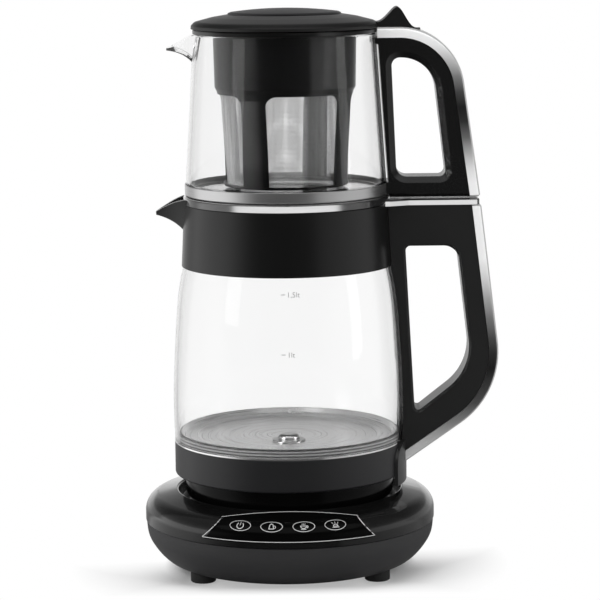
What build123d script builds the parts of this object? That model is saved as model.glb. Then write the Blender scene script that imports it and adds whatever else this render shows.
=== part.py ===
from build123d import *
from math import cos, radians, sin, sqrt
import os

# Electric tea maker in two storeys: a round power base, a glass kettle that
# lifts off it, and a glass teapot with an infuser and a lid on the kettle.
# Millimetres, +Z up. The origin is the centre of the stand, at table level.
# The handles point to +X, the spouts to -X and the control panel to -Y.

# ---------------------------------------------------------------------------
# Driving dimensions
# ---------------------------------------------------------------------------
KETTLE_RADIUS = 73.5  # outside of the kettle's glass at its foot
BASE_OVERHANG = 19.2  # base seam beyond the kettle's glass
BASE_HEIGHT = 32.0  # table to the seam between the two base shells
DOME_HEIGHT = 14.6  # seam to the corner that the dome's shoulder rounds off
SKIRT_HEIGHT = 18.1  # glossy skirt between the seat and the matt band
BAND_HEIGHT = 20.6  # matt band at the kettle's foot
KETTLE_HEIGHT = 152.0  # kettle, from the foot of its glass to its rim
COLLAR_HEIGHT = 40.0  # black collar at the kettle's neck
NECK_INSET = 8.2  # collar at the rim inside the glass's foot radius
TEAPOT_HEIGHT = 101.4  # teapot, from its band's foot to its glass rim
TEAPOT_INSET = 9.8  # teapot glass at its foot inside the kettle's foot radius
TEAPOT_TAPER = 5.9  # teapot glass at its rim inside its own foot radius
HANDLE_REACH = 60.3  # outermost point of the kettle's handle beyond the glass
HANDLE_DEPTH = 27.0  # both handles, front to back
INFUSER_RADIUS = 45.4  # outside of the infuser's tube
LID_HEIGHT = 12.6
GLASS_WALL = 2.5
PLASTIC_WALL = 2.4
STEEL_SHEET = 0.8

# Clearances
LIFT_GAP = 0.3  # between pieces that lift off one another
SEAT_GAP = 0.1  # between pieces that are fitted or glued together
RUN_GAP = 0.6  # around a part that slides into another

SPOUT_ROUNDING = 0.28  # rounding of a spout's keel, as a share of its half width

# ---------------------------------------------------------------------------
# Levels and radii that follow from them
# ---------------------------------------------------------------------------
BASE_RADIUS = KETTLE_RADIUS + BASE_OVERHANG
DOME_RADIUS = BASE_RADIUS + 0.5
DOME_CORNER_Z = BASE_HEIGHT + DOME_HEIGHT
DOME_SLOPE = 0.245  # rise of the dome's top towards the seat, per millimetre
DOME_ROUNDING = 11.0
SEAT_RIM_RADIUS = KETTLE_RADIUS - 1.5
SEAT_RIM_Z = DOME_CORNER_Z + DOME_SLOPE * (DOME_RADIUS - SEAT_RIM_RADIUS)
SEAT_DEPTH = 7.8
SEAT_Z = SEAT_RIM_Z - SEAT_DEPTH
SEAT_RADIUS = SEAT_RIM_RADIUS - 1.8

KETTLE_FOOT_Z = SEAT_Z + LIFT_GAP
SKIRT_RADIUS = KETTLE_RADIUS - 6.0
BAND_Z = KETTLE_FOOT_Z + SKIRT_HEIGHT
BAND_TOP_Z = BAND_Z + BAND_HEIGHT
BAND_RADIUS = KETTLE_RADIUS + 0.1
TRIM_RING_HEIGHT = 1.0
GLASS_Z = BAND_TOP_Z + SEAT_GAP + TRIM_RING_HEIGHT + SEAT_GAP
GLASS_BULGE = 0.5
KETTLE_RIM_Z = GLASS_Z + KETTLE_HEIGHT
COLLAR_Z = KETTLE_RIM_Z - COLLAR_HEIGHT
NECK_RADIUS = KETTLE_RADIUS - NECK_INSET
COLLAR_FLARE = 2.1  # collar's lower edge beyond its rim
COLLAR_RADIUS = NECK_RADIUS + COLLAR_FLARE
COLLAR_WALL = 0.9  # skirt of the collar outside the glass
GLASS_IN_COLLAR = 18.0
GLASS_TOP_Z = COLLAR_Z + GLASS_IN_COLLAR
MOUTH_RADIUS = NECK_RADIUS - 3.8

RIM_RING_HEIGHT = 5.0
RIM_RING_TOP_Z = KETTLE_RIM_Z + RIM_RING_HEIGHT
TEAPOT_Z = RIM_RING_TOP_Z + LIFT_GAP
TEAPOT_RADIUS = KETTLE_RADIUS - TEAPOT_INSET
TEAPOT_BAND_HEIGHT = 7.0
TEAPOT_BAND_RADIUS = TEAPOT_RADIUS + SEAT_GAP + STEEL_SHEET
TEAPOT_RIM_Z = TEAPOT_Z + TEAPOT_HEIGHT
TEAPOT_RIM_RADIUS = TEAPOT_RADIUS - TEAPOT_TAPER
TEAPOT_GLASS_Z = TEAPOT_Z + 1.4
TEAPOT_FLOOR = 3.0
TEAPOT_FLOOR_Z = TEAPOT_GLASS_Z + TEAPOT_FLOOR
TEAPOT_STRAIGHT_Z = TEAPOT_Z + 10.0

FLANGE_Z = TEAPOT_RIM_Z + LIFT_GAP
FLANGE_HEIGHT = 2.9
FLANGE_RADIUS = TEAPOT_RIM_RADIUS + 0.4
LID_Z = FLANGE_Z + FLANGE_HEIGHT + LIFT_GAP
LID_RADIUS = TEAPOT_RIM_RADIUS + 1.5


# ---------------------------------------------------------------------------
# Helpers
# ---------------------------------------------------------------------------
def turned(outline, radii=None):
    """Turn a half section, given as (radius, height) corners, about +Z."""
    with BuildPart() as ring:
        with BuildSketch(Plane.XZ):
            with BuildLine():
                if radii:
                    FilletPolyline(*outline, radius=radii, close=True)
                else:
                    Polyline(*outline, close=True)
            make_face()
        revolve(axis=Axis.Z)
    return ring


def tube(inner, outer, bottom, top):
    """A plain round tube."""
    return turned([(inner, bottom), (outer, bottom), (outer, top), (inner, top)])


def post(radius, bottom, top, places=((0, 0),)):
    """Upright round pieces of one height at the given places."""
    with BuildPart() as posts:
        with BuildSketch(Plane.XY.offset(bottom)):
            with Locations(*places):
                Circle(radius)
        extrude(amount=top - bottom)
    return posts


def block(center, size):
    """An upright box, given by the middle of its foot and its three sizes."""
    with BuildPart() as box:
        with BuildSketch(Plane.XY.offset(center[2])):
            with Locations((center[0], center[1])):
                Rectangle(size[0], size[1])
        extrude(amount=size[2])
    return box


def radial_plane(angle):
    """Upright plane through the axis that faces away from it at an angle."""
    facing = (cos(radians(angle)), sin(radians(angle)), 0)
    return Plane(origin=(0, 0, 0), x_dir=(-facing[1], facing[0], 0), z_dir=facing)


def on_circle(radius, angle):
    """Point on a circle about the axis, its angle in degrees from +X."""
    return radius * cos(radians(angle)), radius * sin(radians(angle))


def dome_corners(depth):
    """Shoulder and seat rim of the dome's section, 'depth' under its skin."""
    drop = depth * sqrt(1 + DOME_SLOPE**2)
    shoulder_z = DOME_CORNER_Z - drop + DOME_SLOPE * depth
    return (DOME_RADIUS - depth, shoulder_z), (SEAT_RIM_RADIUS, SEAT_RIM_Z - drop)


def collar_radius(height):
    """Outside radius of the kettle's collar, a cone."""
    return COLLAR_RADIUS - COLLAR_FLARE * (height - COLLAR_Z) / COLLAR_HEIGHT


def kettle_side(inset):
    """Points up the side of the kettle's glass, 'inset' inside its skin."""
    rise = COLLAR_Z - GLASS_Z
    return [
        (KETTLE_RADIUS - SEAT_GAP - inset, GLASS_Z),
        (KETTLE_RADIUS + GLASS_BULGE - inset, GLASS_Z + 0.14 * rise),
        (KETTLE_RADIUS - 1.2 - inset, GLASS_Z + 0.58 * rise),
        (KETTLE_RADIUS - 3.7 - inset, GLASS_Z + 0.84 * rise),
        (COLLAR_RADIUS - COLLAR_WALL - SEAT_GAP - inset, COLLAR_Z),
    ]


def beak(stations, inset, lift):
    """Loft a pouring spout out of V sections: reach, half width, bottom, top."""
    with BuildPart() as spout:
        for reach, half_width, bottom, top in stations:
            with BuildSketch(Plane.YZ.offset(-reach)):
                with BuildLine():
                    FilletPolyline(
                        (-half_width + inset, top + lift),
                        (half_width - inset, top + lift),
                        (0, bottom + 1.3 * inset),
                        radius=[0, 0, SPOUT_ROUNDING * half_width],
                        close=True,
                    )
                make_face()
        loft()
    return spout


def strip(corners, elbow_radius, thickness, width, rounding):
    """Sweep a strip along a bent path that is its outer middle line."""
    with BuildPart() as band:
        with BuildLine(Plane.XZ) as path:
            FilletPolyline(*corners, radius=elbow_radius)
        start = Plane(origin=path.line @ 0, x_dir=(0, 1, 0), z_dir=path.line % 0)
        with BuildSketch(start) as section:
            Rectangle(width, thickness, align=(Align.CENTER, Align.MAX))
            if rounding:
                fillet(section.vertices().group_by(Axis.Y)[-1], rounding)
        sweep(path=path.line)
    return band


def cut_window(corners, radii, bevel_width, bevel_depth):
    """Finger opening of a handle, with bevelled edges on both faces."""
    with BuildPart() as cutter:
        with BuildSketch(Plane.XZ) as window:
            with BuildLine():
                FilletPolyline(*corners, radius=radii, close=True)
            make_face()
        extrude(amount=HANDLE_DEPTH, both=True)
        with BuildSketch(Plane.XZ.offset(HANDLE_DEPTH / 2)):
            offset(window.sketch_local, amount=bevel_width)
        with BuildSketch(Plane.XZ.offset(HANDLE_DEPTH / 2 - bevel_depth)):
            add(window.sketch_local)
        loft()
        mirror(about=Plane.XZ)
    return cutter


os.makedirs("parts", exist_ok=True)

# ---------------------------------------------------------------------------
# Power base: lower shell
# ---------------------------------------------------------------------------
FLOOR_Z = 4.2  # underside of the base above the table
FLOOR_RADIUS = BASE_RADIUS - 34.0
BOSS_RADIUS = 4.2
BOSS_PITCH = 74.0  # between the four screw bosses, both ways
BOSS_SPLIT_Z = 22.0
SCREW_HOLE_RADIUS = 1.6
SCREW_POCKET = 7.0
SCREW_POCKET_RADIUS = 3.2
FOOT_RADIUS = 8.0
FOOT_RING_RADIUS = BASE_RADIUS - 22.0
FOOT_ANGLE = 38.8
FOOT_TOP_Z = FLOOR_Z + 4.0
FOOT_PLACES = [
    on_circle(FOOT_RING_RADIUS, angle)
    for angle in (FOOT_ANGLE, 180 - FOOT_ANGLE, 180 + FOOT_ANGLE, 360 - FOOT_ANGLE)
]
GLAND_Z = 17.0
GLAND_RADIUS = 6.0
GLAND_BORE_RADIUS = 3.4
GLAND_FLANGE_RADIUS = 7.6
SEAM_SHADOW = 0.3
SEAM_Z = BASE_HEIGHT - SEAM_SHADOW
BOARD_Z = 10.0
BOARD_THICKNESS = 1.6
BOARD_CENTER_Y = 16.0
BOARD_SIZE = (62.0, 50.0)
STANDOFF_RADIUS = 2.6
SHELL_FLOOR_Z = FLOOR_Z + PLASTIC_WALL

# A turned bowl with a flat floor, screw bosses, standoffs and foot pockets.
with BuildPart() as bowl_form:
    with BuildSketch(Plane.XZ):
        with BuildLine():
            Spline(
                (FLOOR_RADIUS, FLOOR_Z),
                (BASE_RADIUS - 12.3, FLOOR_Z + 3.6),
                (BASE_RADIUS - 3.0, FLOOR_Z + 14.5),
                (BASE_RADIUS, SEAM_Z),
                tangents=((1, 0), (0.05, 1)),
            )
            Polyline((BASE_RADIUS, SEAM_Z), (0, SEAM_Z), (0, FLOOR_Z), (FLOOR_RADIUS, FLOOR_Z))
        make_face()
    revolve(axis=Axis.Z)
with BuildPart() as base_bottom_shell:
    add(bowl_form.part)
    offset(amount=-PLASTIC_WALL, openings=base_bottom_shell.faces().sort_by(Axis.Z)[-1])
    with BuildSketch(Plane.XY.offset(SHELL_FLOOR_Z)):
        with GridLocations(BOSS_PITCH, BOSS_PITCH, 2, 2):
            Circle(BOSS_RADIUS)
    extrude(amount=BOSS_SPLIT_Z - SHELL_FLOOR_Z)
    with BuildSketch(Plane.XY.offset(SHELL_FLOOR_Z)):
        with Locations((0, BOARD_CENTER_Y)):
            with GridLocations(BOARD_SIZE[0] - 10, BOARD_SIZE[1] - 10, 2, 2):
                Circle(STANDOFF_RADIUS)
    extrude(amount=BOARD_Z - SEAT_GAP - SHELL_FLOOR_Z)
    with BuildSketch(Plane.XY.offset(SHELL_FLOOR_Z - PLASTIC_WALL / 2)):
        with Locations(*FOOT_PLACES):
            Circle(FOOT_RADIUS + PLASTIC_WALL)
    foot_bosses = extrude(
        amount=FOOT_TOP_Z + 1.5 * PLASTIC_WALL - SHELL_FLOOR_Z, mode=Mode.PRIVATE
    )
    add(foot_bosses & bowl_form.part)
    with BuildSketch(Plane.XY):
        with Locations(*FOOT_PLACES):
            Circle(FOOT_RADIUS + SEAT_GAP)
    extrude(amount=FOOT_TOP_Z + SEAT_GAP, mode=Mode.SUBTRACT)
    with BuildSketch(Plane.XY):
        with GridLocations(BOSS_PITCH, BOSS_PITCH, 2, 2):
            Circle(SCREW_POCKET_RADIUS)
    extrude(amount=FLOOR_Z + SCREW_POCKET, mode=Mode.SUBTRACT)
    with BuildSketch(Plane.XY):
        with GridLocations(BOSS_PITCH, BOSS_PITCH, 2, 2):
            Circle(SCREW_HOLE_RADIUS)
    extrude(amount=BOSS_SPLIT_Z, mode=Mode.SUBTRACT)
    with BuildSketch(Plane.XZ.offset(-BASE_RADIUS)):
        with Locations((0, GLAND_Z)):
            Circle(GLAND_RADIUS + SEAT_GAP)
    extrude(amount=5 * PLASTIC_WALL, mode=Mode.SUBTRACT)
base_bottom_shell.part.label = "base_bottom_shell"
export_step(base_bottom_shell.part, "parts/base_bottom_shell.step")

# ---------------------------------------------------------------------------
# Power base: dome, control panel and what lies under it
# ---------------------------------------------------------------------------
CONNECTOR_RADIUS = 15.5
CONNECTOR_HEIGHT = 11.0  # plug of the power connector above the seat
PANEL_DEPTH = 0.5
PANEL_FOOT_Z = BASE_HEIGHT + 3.6
PANEL_FOOT_HALF = 55.5
PANEL_TOP_HALF = 42.0
PANEL_TOP_Z = SEAT_RIM_Z - 2.2
PANEL_CORNER = 6.0
PANEL_FRONT = SEAT_RIM_RADIUS + 1.4


def control_film(gap):
    """The touch panel's skin on the dome, wider by 'gap' all round."""
    shoulder, rim = dome_corners(-2 * gap)
    under_shoulder, under_rim = dome_corners(PANEL_DEPTH + gap)
    foot_z = PANEL_FOOT_Z - gap
    under_rounding = DOME_ROUNDING - PANEL_DEPTH - gap
    with BuildPart() as film:
        with BuildSketch(Plane.XZ):
            with BuildLine():
                FilletPolyline(
                    (shoulder[0], foot_z),
                    shoulder,
                    rim,
                    under_rim,
                    under_shoulder,
                    (under_shoulder[0], foot_z),
                    radius=[0, DOME_ROUNDING + 2 * gap, 0, 0, under_rounding, 0],
                    close=True,
                )
            make_face()
        revolve(axis=Axis.Z)
        with BuildSketch(Plane.XZ.offset(PANEL_FRONT - gap)):
            with BuildLine():
                Polyline(
                    (-PANEL_FOOT_HALF - gap, BASE_HEIGHT),
                    (PANEL_FOOT_HALF + gap, BASE_HEIGHT),
                    (PANEL_TOP_HALF + gap, PANEL_TOP_Z),
                    (PANEL_TOP_HALF + gap - PANEL_CORNER, SEAT_RIM_Z + 1),
                    (-PANEL_TOP_HALF - gap + PANEL_CORNER, SEAT_RIM_Z + 1),
                    (-PANEL_TOP_HALF - gap, PANEL_TOP_Z),
                    close=True,
                )
            make_face()
        extrude(amount=2 * BASE_OVERHANG, mode=Mode.INTERSECT)
    return film


# Dome with a round recess that the kettle stands in, and four screw bosses.
panel_recess = control_film(SEAT_GAP)
dome_shoulder, dome_rim = dome_corners(0)
under_shoulder, under_rim = dome_corners(PLASTIC_WALL)
SEAT_UNDER_Z = SEAT_Z - PLASTIC_WALL
with BuildPart() as base_top_cover:
    with BuildSketch(Plane.XZ):
        with BuildLine():
            FilletPolyline(
                (DOME_RADIUS, BASE_HEIGHT),
                dome_shoulder,
                dome_rim,
                (SEAT_RADIUS, SEAT_Z),
                (CONNECTOR_RADIUS + SEAT_GAP, SEAT_Z),
                (CONNECTOR_RADIUS + SEAT_GAP, SEAT_UNDER_Z),
                (SEAT_RADIUS + PLASTIC_WALL, SEAT_UNDER_Z),
                (SEAT_RIM_RADIUS + PLASTIC_WALL, under_rim[1] - DOME_SLOPE * PLASTIC_WALL),
                under_shoulder,
                (under_shoulder[0], BASE_HEIGHT),
                radius=[0.4, DOME_ROUNDING, 1.2, 1.0, 0, 0, 0, 0, DOME_ROUNDING - PLASTIC_WALL, 0],
                close=True,
            )
        make_face()
    revolve(axis=Axis.Z)
    add(panel_recess.part, mode=Mode.SUBTRACT)
    with BuildSketch(Plane.XY.offset(SEAT_UNDER_Z)):
        with GridLocations(BOSS_PITCH, BOSS_PITCH, 2, 2):
            Circle(BOSS_RADIUS)
            Circle(SCREW_HOLE_RADIUS, mode=Mode.SUBTRACT)
    extrude(amount=BOSS_SPLIT_Z + SEAT_GAP - SEAT_UNDER_Z)
base_top_cover.part.label = "base_top_cover"
export_step(base_top_cover.part, "parts/base_top_cover.step")

control_panel = control_film(0)
control_panel.part.label = "control_panel"
export_step(control_panel.part, "parts/control_panel.step")

# Sensor board under the panel: an arc of circuit board on four foam pads.
SENSOR_BOARD_Z = BASE_HEIGHT + 3.0
SENSOR_BOARD_INNER = SEAT_RADIUS + 5.8
SENSOR_BOARD_OUTER = DOME_RADIUS - 5.5
SENSOR_BOARD_HALF = 28.0  # degrees either side of the middle
TOUCH_SPACING = 12.8  # degrees between the touch fields
PAD_RADIUS = 3.5
PAD_RING_RADIUS = SENSOR_BOARD_INNER + 6.0
PAD_TOP_Z = under_rim[1] - DOME_SLOPE * (PAD_RING_RADIUS - SEAT_RIM_RADIUS) - 1.2
PAD_PLACES = [
    on_circle(PAD_RING_RADIUS, -90 + TOUCH_SPACING * (step - 1.5)) for step in range(4)
]
with BuildPart() as sensor_board:
    with BuildSketch(Plane.XY.offset(SENSOR_BOARD_Z)):
        Circle(SENSOR_BOARD_OUTER)
        Circle(SENSOR_BOARD_INNER, mode=Mode.SUBTRACT)
        with BuildLine():
            Polyline(
                (0, 0),
                on_circle(2 * SENSOR_BOARD_OUTER, -90 - SENSOR_BOARD_HALF),
                on_circle(2 * SENSOR_BOARD_OUTER, -90 + SENSOR_BOARD_HALF),
                close=True,
            )
        make_face(mode=Mode.INTERSECT)
    extrude(amount=BOARD_THICKNESS)
sensor_board.part.label = "sensor_board"
export_step(sensor_board.part, "parts/sensor_board.step")

touch_pads = post(PAD_RADIUS, SENSOR_BOARD_Z + BOARD_THICKNESS + SEAT_GAP, PAD_TOP_Z, PAD_PLACES)
touch_pads.part.label = "touch_pads"
export_step(touch_pads.part, "parts/touch_pads.step")

# ---------------------------------------------------------------------------
# Power base: power board, connector, feet, screws and lead bush
# ---------------------------------------------------------------------------
PARTS_Z = BOARD_Z + BOARD_THICKNESS + SEAT_GAP
power_board = block((0, BOARD_CENTER_Y, BOARD_Z), (*BOARD_SIZE, BOARD_THICKNESS))
power_board.part.label = "power_board"
export_step(power_board.part, "parts/power_board.step")

with BuildPart() as relays:
    with BuildSketch(Plane.XY.offset(PARTS_Z)):
        with Locations((-20, BOARD_CENTER_Y - 9), (-20, BOARD_CENTER_Y + 11)):
            Rectangle(16.0, 15.5)
    extrude(amount=15.0)
    chamfer(relays.faces().group_by(Axis.Z)[-1].edges(), 0.8)
relays.part.label = "relays"
export_step(relays.part, "parts/relays.step")

smoothing_capacitor = post(5.0, PARTS_Z, PARTS_Z + 16, [(0, BOARD_CENTER_Y + 12)])
smoothing_capacitor.part.label = "smoothing_capacitor"
export_step(smoothing_capacitor.part, "parts/smoothing_capacitor.step")

terminal_block = block((20, BOARD_CENTER_Y + 16, PARTS_Z), (16.0, 10.0, 11.0))
terminal_block.part.label = "terminal_block"
export_step(terminal_block.part, "parts/terminal_block.step")

buzzer = post(6.0, PARTS_Z, PARTS_Z + 8, [(22, BOARD_CENTER_Y - 10)])
buzzer.part.label = "buzzer"
export_step(buzzer.part, "parts/buzzer.step")

# Power connector: a round plug with two ring slots and a middle hole, so
# the kettle may be set down at any angle.
CONNECTOR_TOP_Z = SEAT_Z + CONNECTOR_HEIGHT
CONNECTOR_FLANGE_RADIUS = 21.0
CONNECTOR_FOOT_Z = SEAT_Z - 9.0
CONTACT_Z = SEAT_Z - 2.4
CONTACT_TOP_Z = CONTACT_Z + 2.5
PIN_RADIUS = 1.8
INNER_RING = (7.9, 8.7)
OUTER_RING = (11.9, 12.7)
SLOT_GAP = 0.5
CONTACT_GAP = SLOT_GAP - SEAT_GAP
with BuildPart() as power_connector:
    with BuildSketch(Plane.XZ):
        with BuildLine():
            FilletPolyline(
                (0, CONNECTOR_FOOT_Z),
                (CONNECTOR_FLANGE_RADIUS, CONNECTOR_FOOT_Z),
                (CONNECTOR_FLANGE_RADIUS, SEAT_UNDER_Z - SEAT_GAP),
                (CONNECTOR_RADIUS, SEAT_UNDER_Z - SEAT_GAP),
                (CONNECTOR_RADIUS, CONNECTOR_TOP_Z),
                (0, CONNECTOR_TOP_Z),
                radius=[0, 0.8, 0.8, 0, 1.2, 0],
                close=True,
            )
        make_face()
    revolve(axis=Axis.Z)
    with BuildSketch(Plane.XY.offset(CONTACT_Z)):
        for inner, outer in (OUTER_RING, INNER_RING):
            Circle(outer + SLOT_GAP)
            Circle(inner - SLOT_GAP, mode=Mode.SUBTRACT)
        Circle(PIN_RADIUS + SLOT_GAP)
    extrude(amount=CONNECTOR_HEIGHT + 3.0, mode=Mode.SUBTRACT)
power_connector.part.label = "power_connector"
export_step(power_connector.part, "parts/power_connector.step")

centre_contact = post(PIN_RADIUS + CONTACT_GAP, CONTACT_Z, CONTACT_TOP_Z)
centre_contact.part.label = "centre_contact"
export_step(centre_contact.part, "parts/centre_contact.step")

inner_contact = tube(
    INNER_RING[0] - CONTACT_GAP, INNER_RING[1] + CONTACT_GAP, CONTACT_Z, CONTACT_TOP_Z
)
inner_contact.part.label = "inner_contact"
export_step(inner_contact.part, "parts/inner_contact.step")

outer_contact = tube(
    OUTER_RING[0] - CONTACT_GAP, OUTER_RING[1] + CONTACT_GAP, CONTACT_Z, CONTACT_TOP_Z
)
outer_contact.part.label = "outer_contact"
export_step(outer_contact.part, "parts/outer_contact.step")

with BuildPart() as rubber_feet:
    with BuildSketch(Plane.XY):
        with Locations(*FOOT_PLACES):
            Circle(FOOT_RADIUS)
    extrude(amount=FOOT_TOP_Z)
    chamfer(rubber_feet.faces().group_by(Axis.Z)[0].edges(), 0.6)
rubber_feet.part.label = "rubber_feet"
export_step(rubber_feet.part, "parts/rubber_feet.step")

SCREW_HEAD_RADIUS = 2.8
SCREW_HEAD_HEIGHT = 2.0
SCREW_LENGTH = 24.0
SCREW_SEAT_Z = FLOOR_Z + SCREW_POCKET - SEAT_GAP
with BuildPart() as base_screws:
    with BuildSketch(Plane.XY.offset(SCREW_SEAT_Z)):
        with GridLocations(BOSS_PITCH, BOSS_PITCH, 2, 2):
            Circle(SCREW_HEAD_RADIUS)
    extrude(amount=-SCREW_HEAD_HEIGHT)
    with BuildSketch(Plane.XY.offset(SCREW_SEAT_Z)):
        with GridLocations(BOSS_PITCH, BOSS_PITCH, 2, 2):
            Circle(SCREW_HOLE_RADIUS - SEAT_GAP)
    extrude(amount=SCREW_LENGTH)
base_screws.part.label = "base_screws"
export_step(base_screws.part, "parts/base_screws.step")

GLAND_REACH = BASE_RADIUS + 0.6
GLAND_LENGTH = 9.6
GLAND_FLANGE = 1.6
with BuildPart() as lead_bush:
    with BuildSketch(Plane.XZ.offset(-GLAND_REACH)):
        with Locations((0, GLAND_Z)):
            Circle(GLAND_RADIUS)
    extrude(amount=GLAND_LENGTH)
    with BuildSketch(Plane.XZ.offset(-GLAND_REACH)):
        with Locations((0, GLAND_Z)):
            Circle(GLAND_FLANGE_RADIUS)
    extrude(amount=GLAND_FLANGE)
    add(base_bottom_shell.part, mode=Mode.SUBTRACT)
    with BuildSketch(Plane.XZ.offset(-GLAND_REACH)):
        with Locations((0, GLAND_Z)):
            Circle(GLAND_BORE_RADIUS)
    extrude(amount=GLAND_LENGTH, mode=Mode.SUBTRACT)
lead_bush.part.label = "lead_bush"
export_step(lead_bush.part, "parts/lead_bush.step")

# ---------------------------------------------------------------------------
# Kettle: cordless socket, lower cover and band
# ---------------------------------------------------------------------------
SOCKET_RADIUS = 21.0
SOCKET_BORE = CONNECTOR_RADIUS + RUN_GAP
SOCKET_CEILING_Z = CONNECTOR_TOP_Z + 2.5
SOCKET_TOP_Z = SOCKET_CEILING_Z + 4.5
SOCKET_FOOT_Z = KETTLE_FOOT_Z + 1.2
kettle_socket = turned(
    [
        (SOCKET_BORE, SOCKET_FOOT_Z),
        (SOCKET_RADIUS, SOCKET_FOOT_Z),
        (SOCKET_RADIUS, SOCKET_TOP_Z),
        (0, SOCKET_TOP_Z),
        (0, SOCKET_CEILING_Z),
        (SOCKET_BORE, SOCKET_CEILING_Z),
    ],
    [0.6, 0.6, 0.8, 0, 0, 0.8],
)
kettle_socket.part.label = "kettle_socket"
export_step(kettle_socket.part, "parts/kettle_socket.step")

PIN_TIP_Z = CONTACT_TOP_Z + 0.4
PIN_TOP_Z = SOCKET_CEILING_Z - SEAT_GAP
socket_pin = post(PIN_RADIUS, PIN_TIP_Z, PIN_TOP_Z)
socket_pin.part.label = "socket_pin"
export_step(socket_pin.part, "parts/socket_pin.step")

socket_inner_ring = tube(*INNER_RING, PIN_TIP_Z, PIN_TOP_Z)
socket_inner_ring.part.label = "socket_inner_ring"
export_step(socket_inner_ring.part, "parts/socket_inner_ring.step")

socket_outer_ring = tube(*OUTER_RING, PIN_TIP_Z, PIN_TOP_Z)
socket_outer_ring.part.label = "socket_outer_ring"
export_step(socket_outer_ring.part, "parts/socket_outer_ring.step")

# Lower cover: a glossy skirt with a foot ring and a hole for the socket.
COVER_FLOOR_Z = KETTLE_FOOT_Z + 2.0
COVER_HOLE = SOCKET_RADIUS + LIFT_GAP
SKIRT_TOP_Z = BAND_Z + PLASTIC_WALL
kettle_lower_cover = turned(
    [
        (SKIRT_RADIUS, SKIRT_TOP_Z),
        (SKIRT_RADIUS - 0.9, KETTLE_FOOT_Z + 5.0),
        (SKIRT_RADIUS - 4.5, KETTLE_FOOT_Z),
        (SKIRT_RADIUS - 9.0, KETTLE_FOOT_Z),
        (SKIRT_RADIUS - 10.5, COVER_FLOOR_Z),
        (COVER_HOLE, COVER_FLOOR_Z),
        (COVER_HOLE, COVER_FLOOR_Z + PLASTIC_WALL),
        (SKIRT_RADIUS - 9.5, COVER_FLOOR_Z + PLASTIC_WALL),
        (SKIRT_RADIUS - 8.2, KETTLE_FOOT_Z + PLASTIC_WALL),
        (SKIRT_RADIUS - 5.8, KETTLE_FOOT_Z + PLASTIC_WALL),
        (SKIRT_RADIUS - 3.3, KETTLE_FOOT_Z + 5.8),
        (SKIRT_RADIUS - PLASTIC_WALL, SKIRT_TOP_Z),
    ],
    [0, 3.0, 1.5, 0.4, 0.4, 0, 0, 0.4, 0.4, 0.8, 1.5, 0],
)
kettle_lower_cover.part.label = "kettle_lower_cover"
export_step(kettle_lower_cover.part, "parts/kettle_lower_cover.step")

# Matt band around the foot, with the ledge that carries the heating plate.
BAND_INNER = BAND_RADIUS - 2.3
LEDGE_INNER = KETTLE_RADIUS - 6.5
LEDGE_TOP_Z = BAND_TOP_Z - 0.6
LEDGE_Z = LEDGE_TOP_Z - PLASTIC_WALL
kettle_band = turned(
    [
        (SKIRT_RADIUS + SEAT_GAP, BAND_Z),
        (BAND_RADIUS, BAND_Z),
        (BAND_RADIUS, BAND_TOP_Z),
        (BAND_INNER, BAND_TOP_Z),
        (BAND_INNER, LEDGE_TOP_Z),
        (LEDGE_INNER, LEDGE_TOP_Z),
        (LEDGE_INNER, LEDGE_Z),
        (BAND_INNER, LEDGE_Z - 2.0),
        (BAND_INNER, SKIRT_TOP_Z),
        (SKIRT_RADIUS + SEAT_GAP, SKIRT_TOP_Z),
    ],
    [0, 1.2, 0.5, 0, 0, 0, 0, 0, 0, 0],
)
kettle_band.part.label = "kettle_band"
export_step(kettle_band.part, "parts/kettle_band.step")

TRIM_RING_Z = BAND_TOP_Z + SEAT_GAP
TRIM_RING_TOP_Z = TRIM_RING_Z + TRIM_RING_HEIGHT
TRIM_RING_INNER = KETTLE_RADIUS - GLASS_WALL
glass_foot_ring = tube(TRIM_RING_INNER, BAND_RADIUS, TRIM_RING_Z, TRIM_RING_TOP_Z)
glass_foot_ring.part.label = "glass_foot_ring"
export_step(glass_foot_ring.part, "parts/glass_foot_ring.step")

# ---------------------------------------------------------------------------
# Kettle: heating plate and what hangs under it
# ---------------------------------------------------------------------------
PLATE_Z = GLASS_Z + 1.1
PLATE_DISC = KETTLE_RADIUS - 16.3
PLATE_STEP = 1.2
PLATE_RIM_Z = PLATE_Z + 4.4
PLATE_RIM = TRIM_RING_INNER - 1.3
SENSOR_HOLE = 4.1
SENSOR_REACH = 20.0  # sensor in front of the plate's middle
PLATE_UNDER_Z = PLATE_Z - STEEL_SHEET
# Stainless plate: a flat disc, a step, and a raised rim inside the glass.
plate_form = turned(
    [
        (0, PLATE_Z),
        (PLATE_DISC, PLATE_Z),
        (PLATE_DISC + 1.6, PLATE_Z + PLATE_STEP),
        (PLATE_RIM - 3.2, PLATE_Z + PLATE_STEP),
        (PLATE_RIM - STEEL_SHEET, PLATE_RIM_Z),
        (PLATE_RIM, PLATE_RIM_Z),
        (PLATE_RIM - 2.6, PLATE_UNDER_Z + PLATE_STEP),
        (PLATE_DISC + 1.9, PLATE_UNDER_Z + PLATE_STEP),
        (PLATE_DISC + 0.3, PLATE_UNDER_Z),
        (0, PLATE_UNDER_Z),
    ],
    [0, 0.4, 0.4, 0.8, 0, 0, 1.2, 0.4, 0.4, 0],
)
with BuildPart() as heating_plate:
    add(plate_form.part)
    with Locations((0, -SENSOR_REACH, PLATE_Z)):
        Hole(SENSOR_HOLE)
heating_plate.part.label = "heating_plate"
export_step(heating_plate.part, "parts/heating_plate.step")

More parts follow.
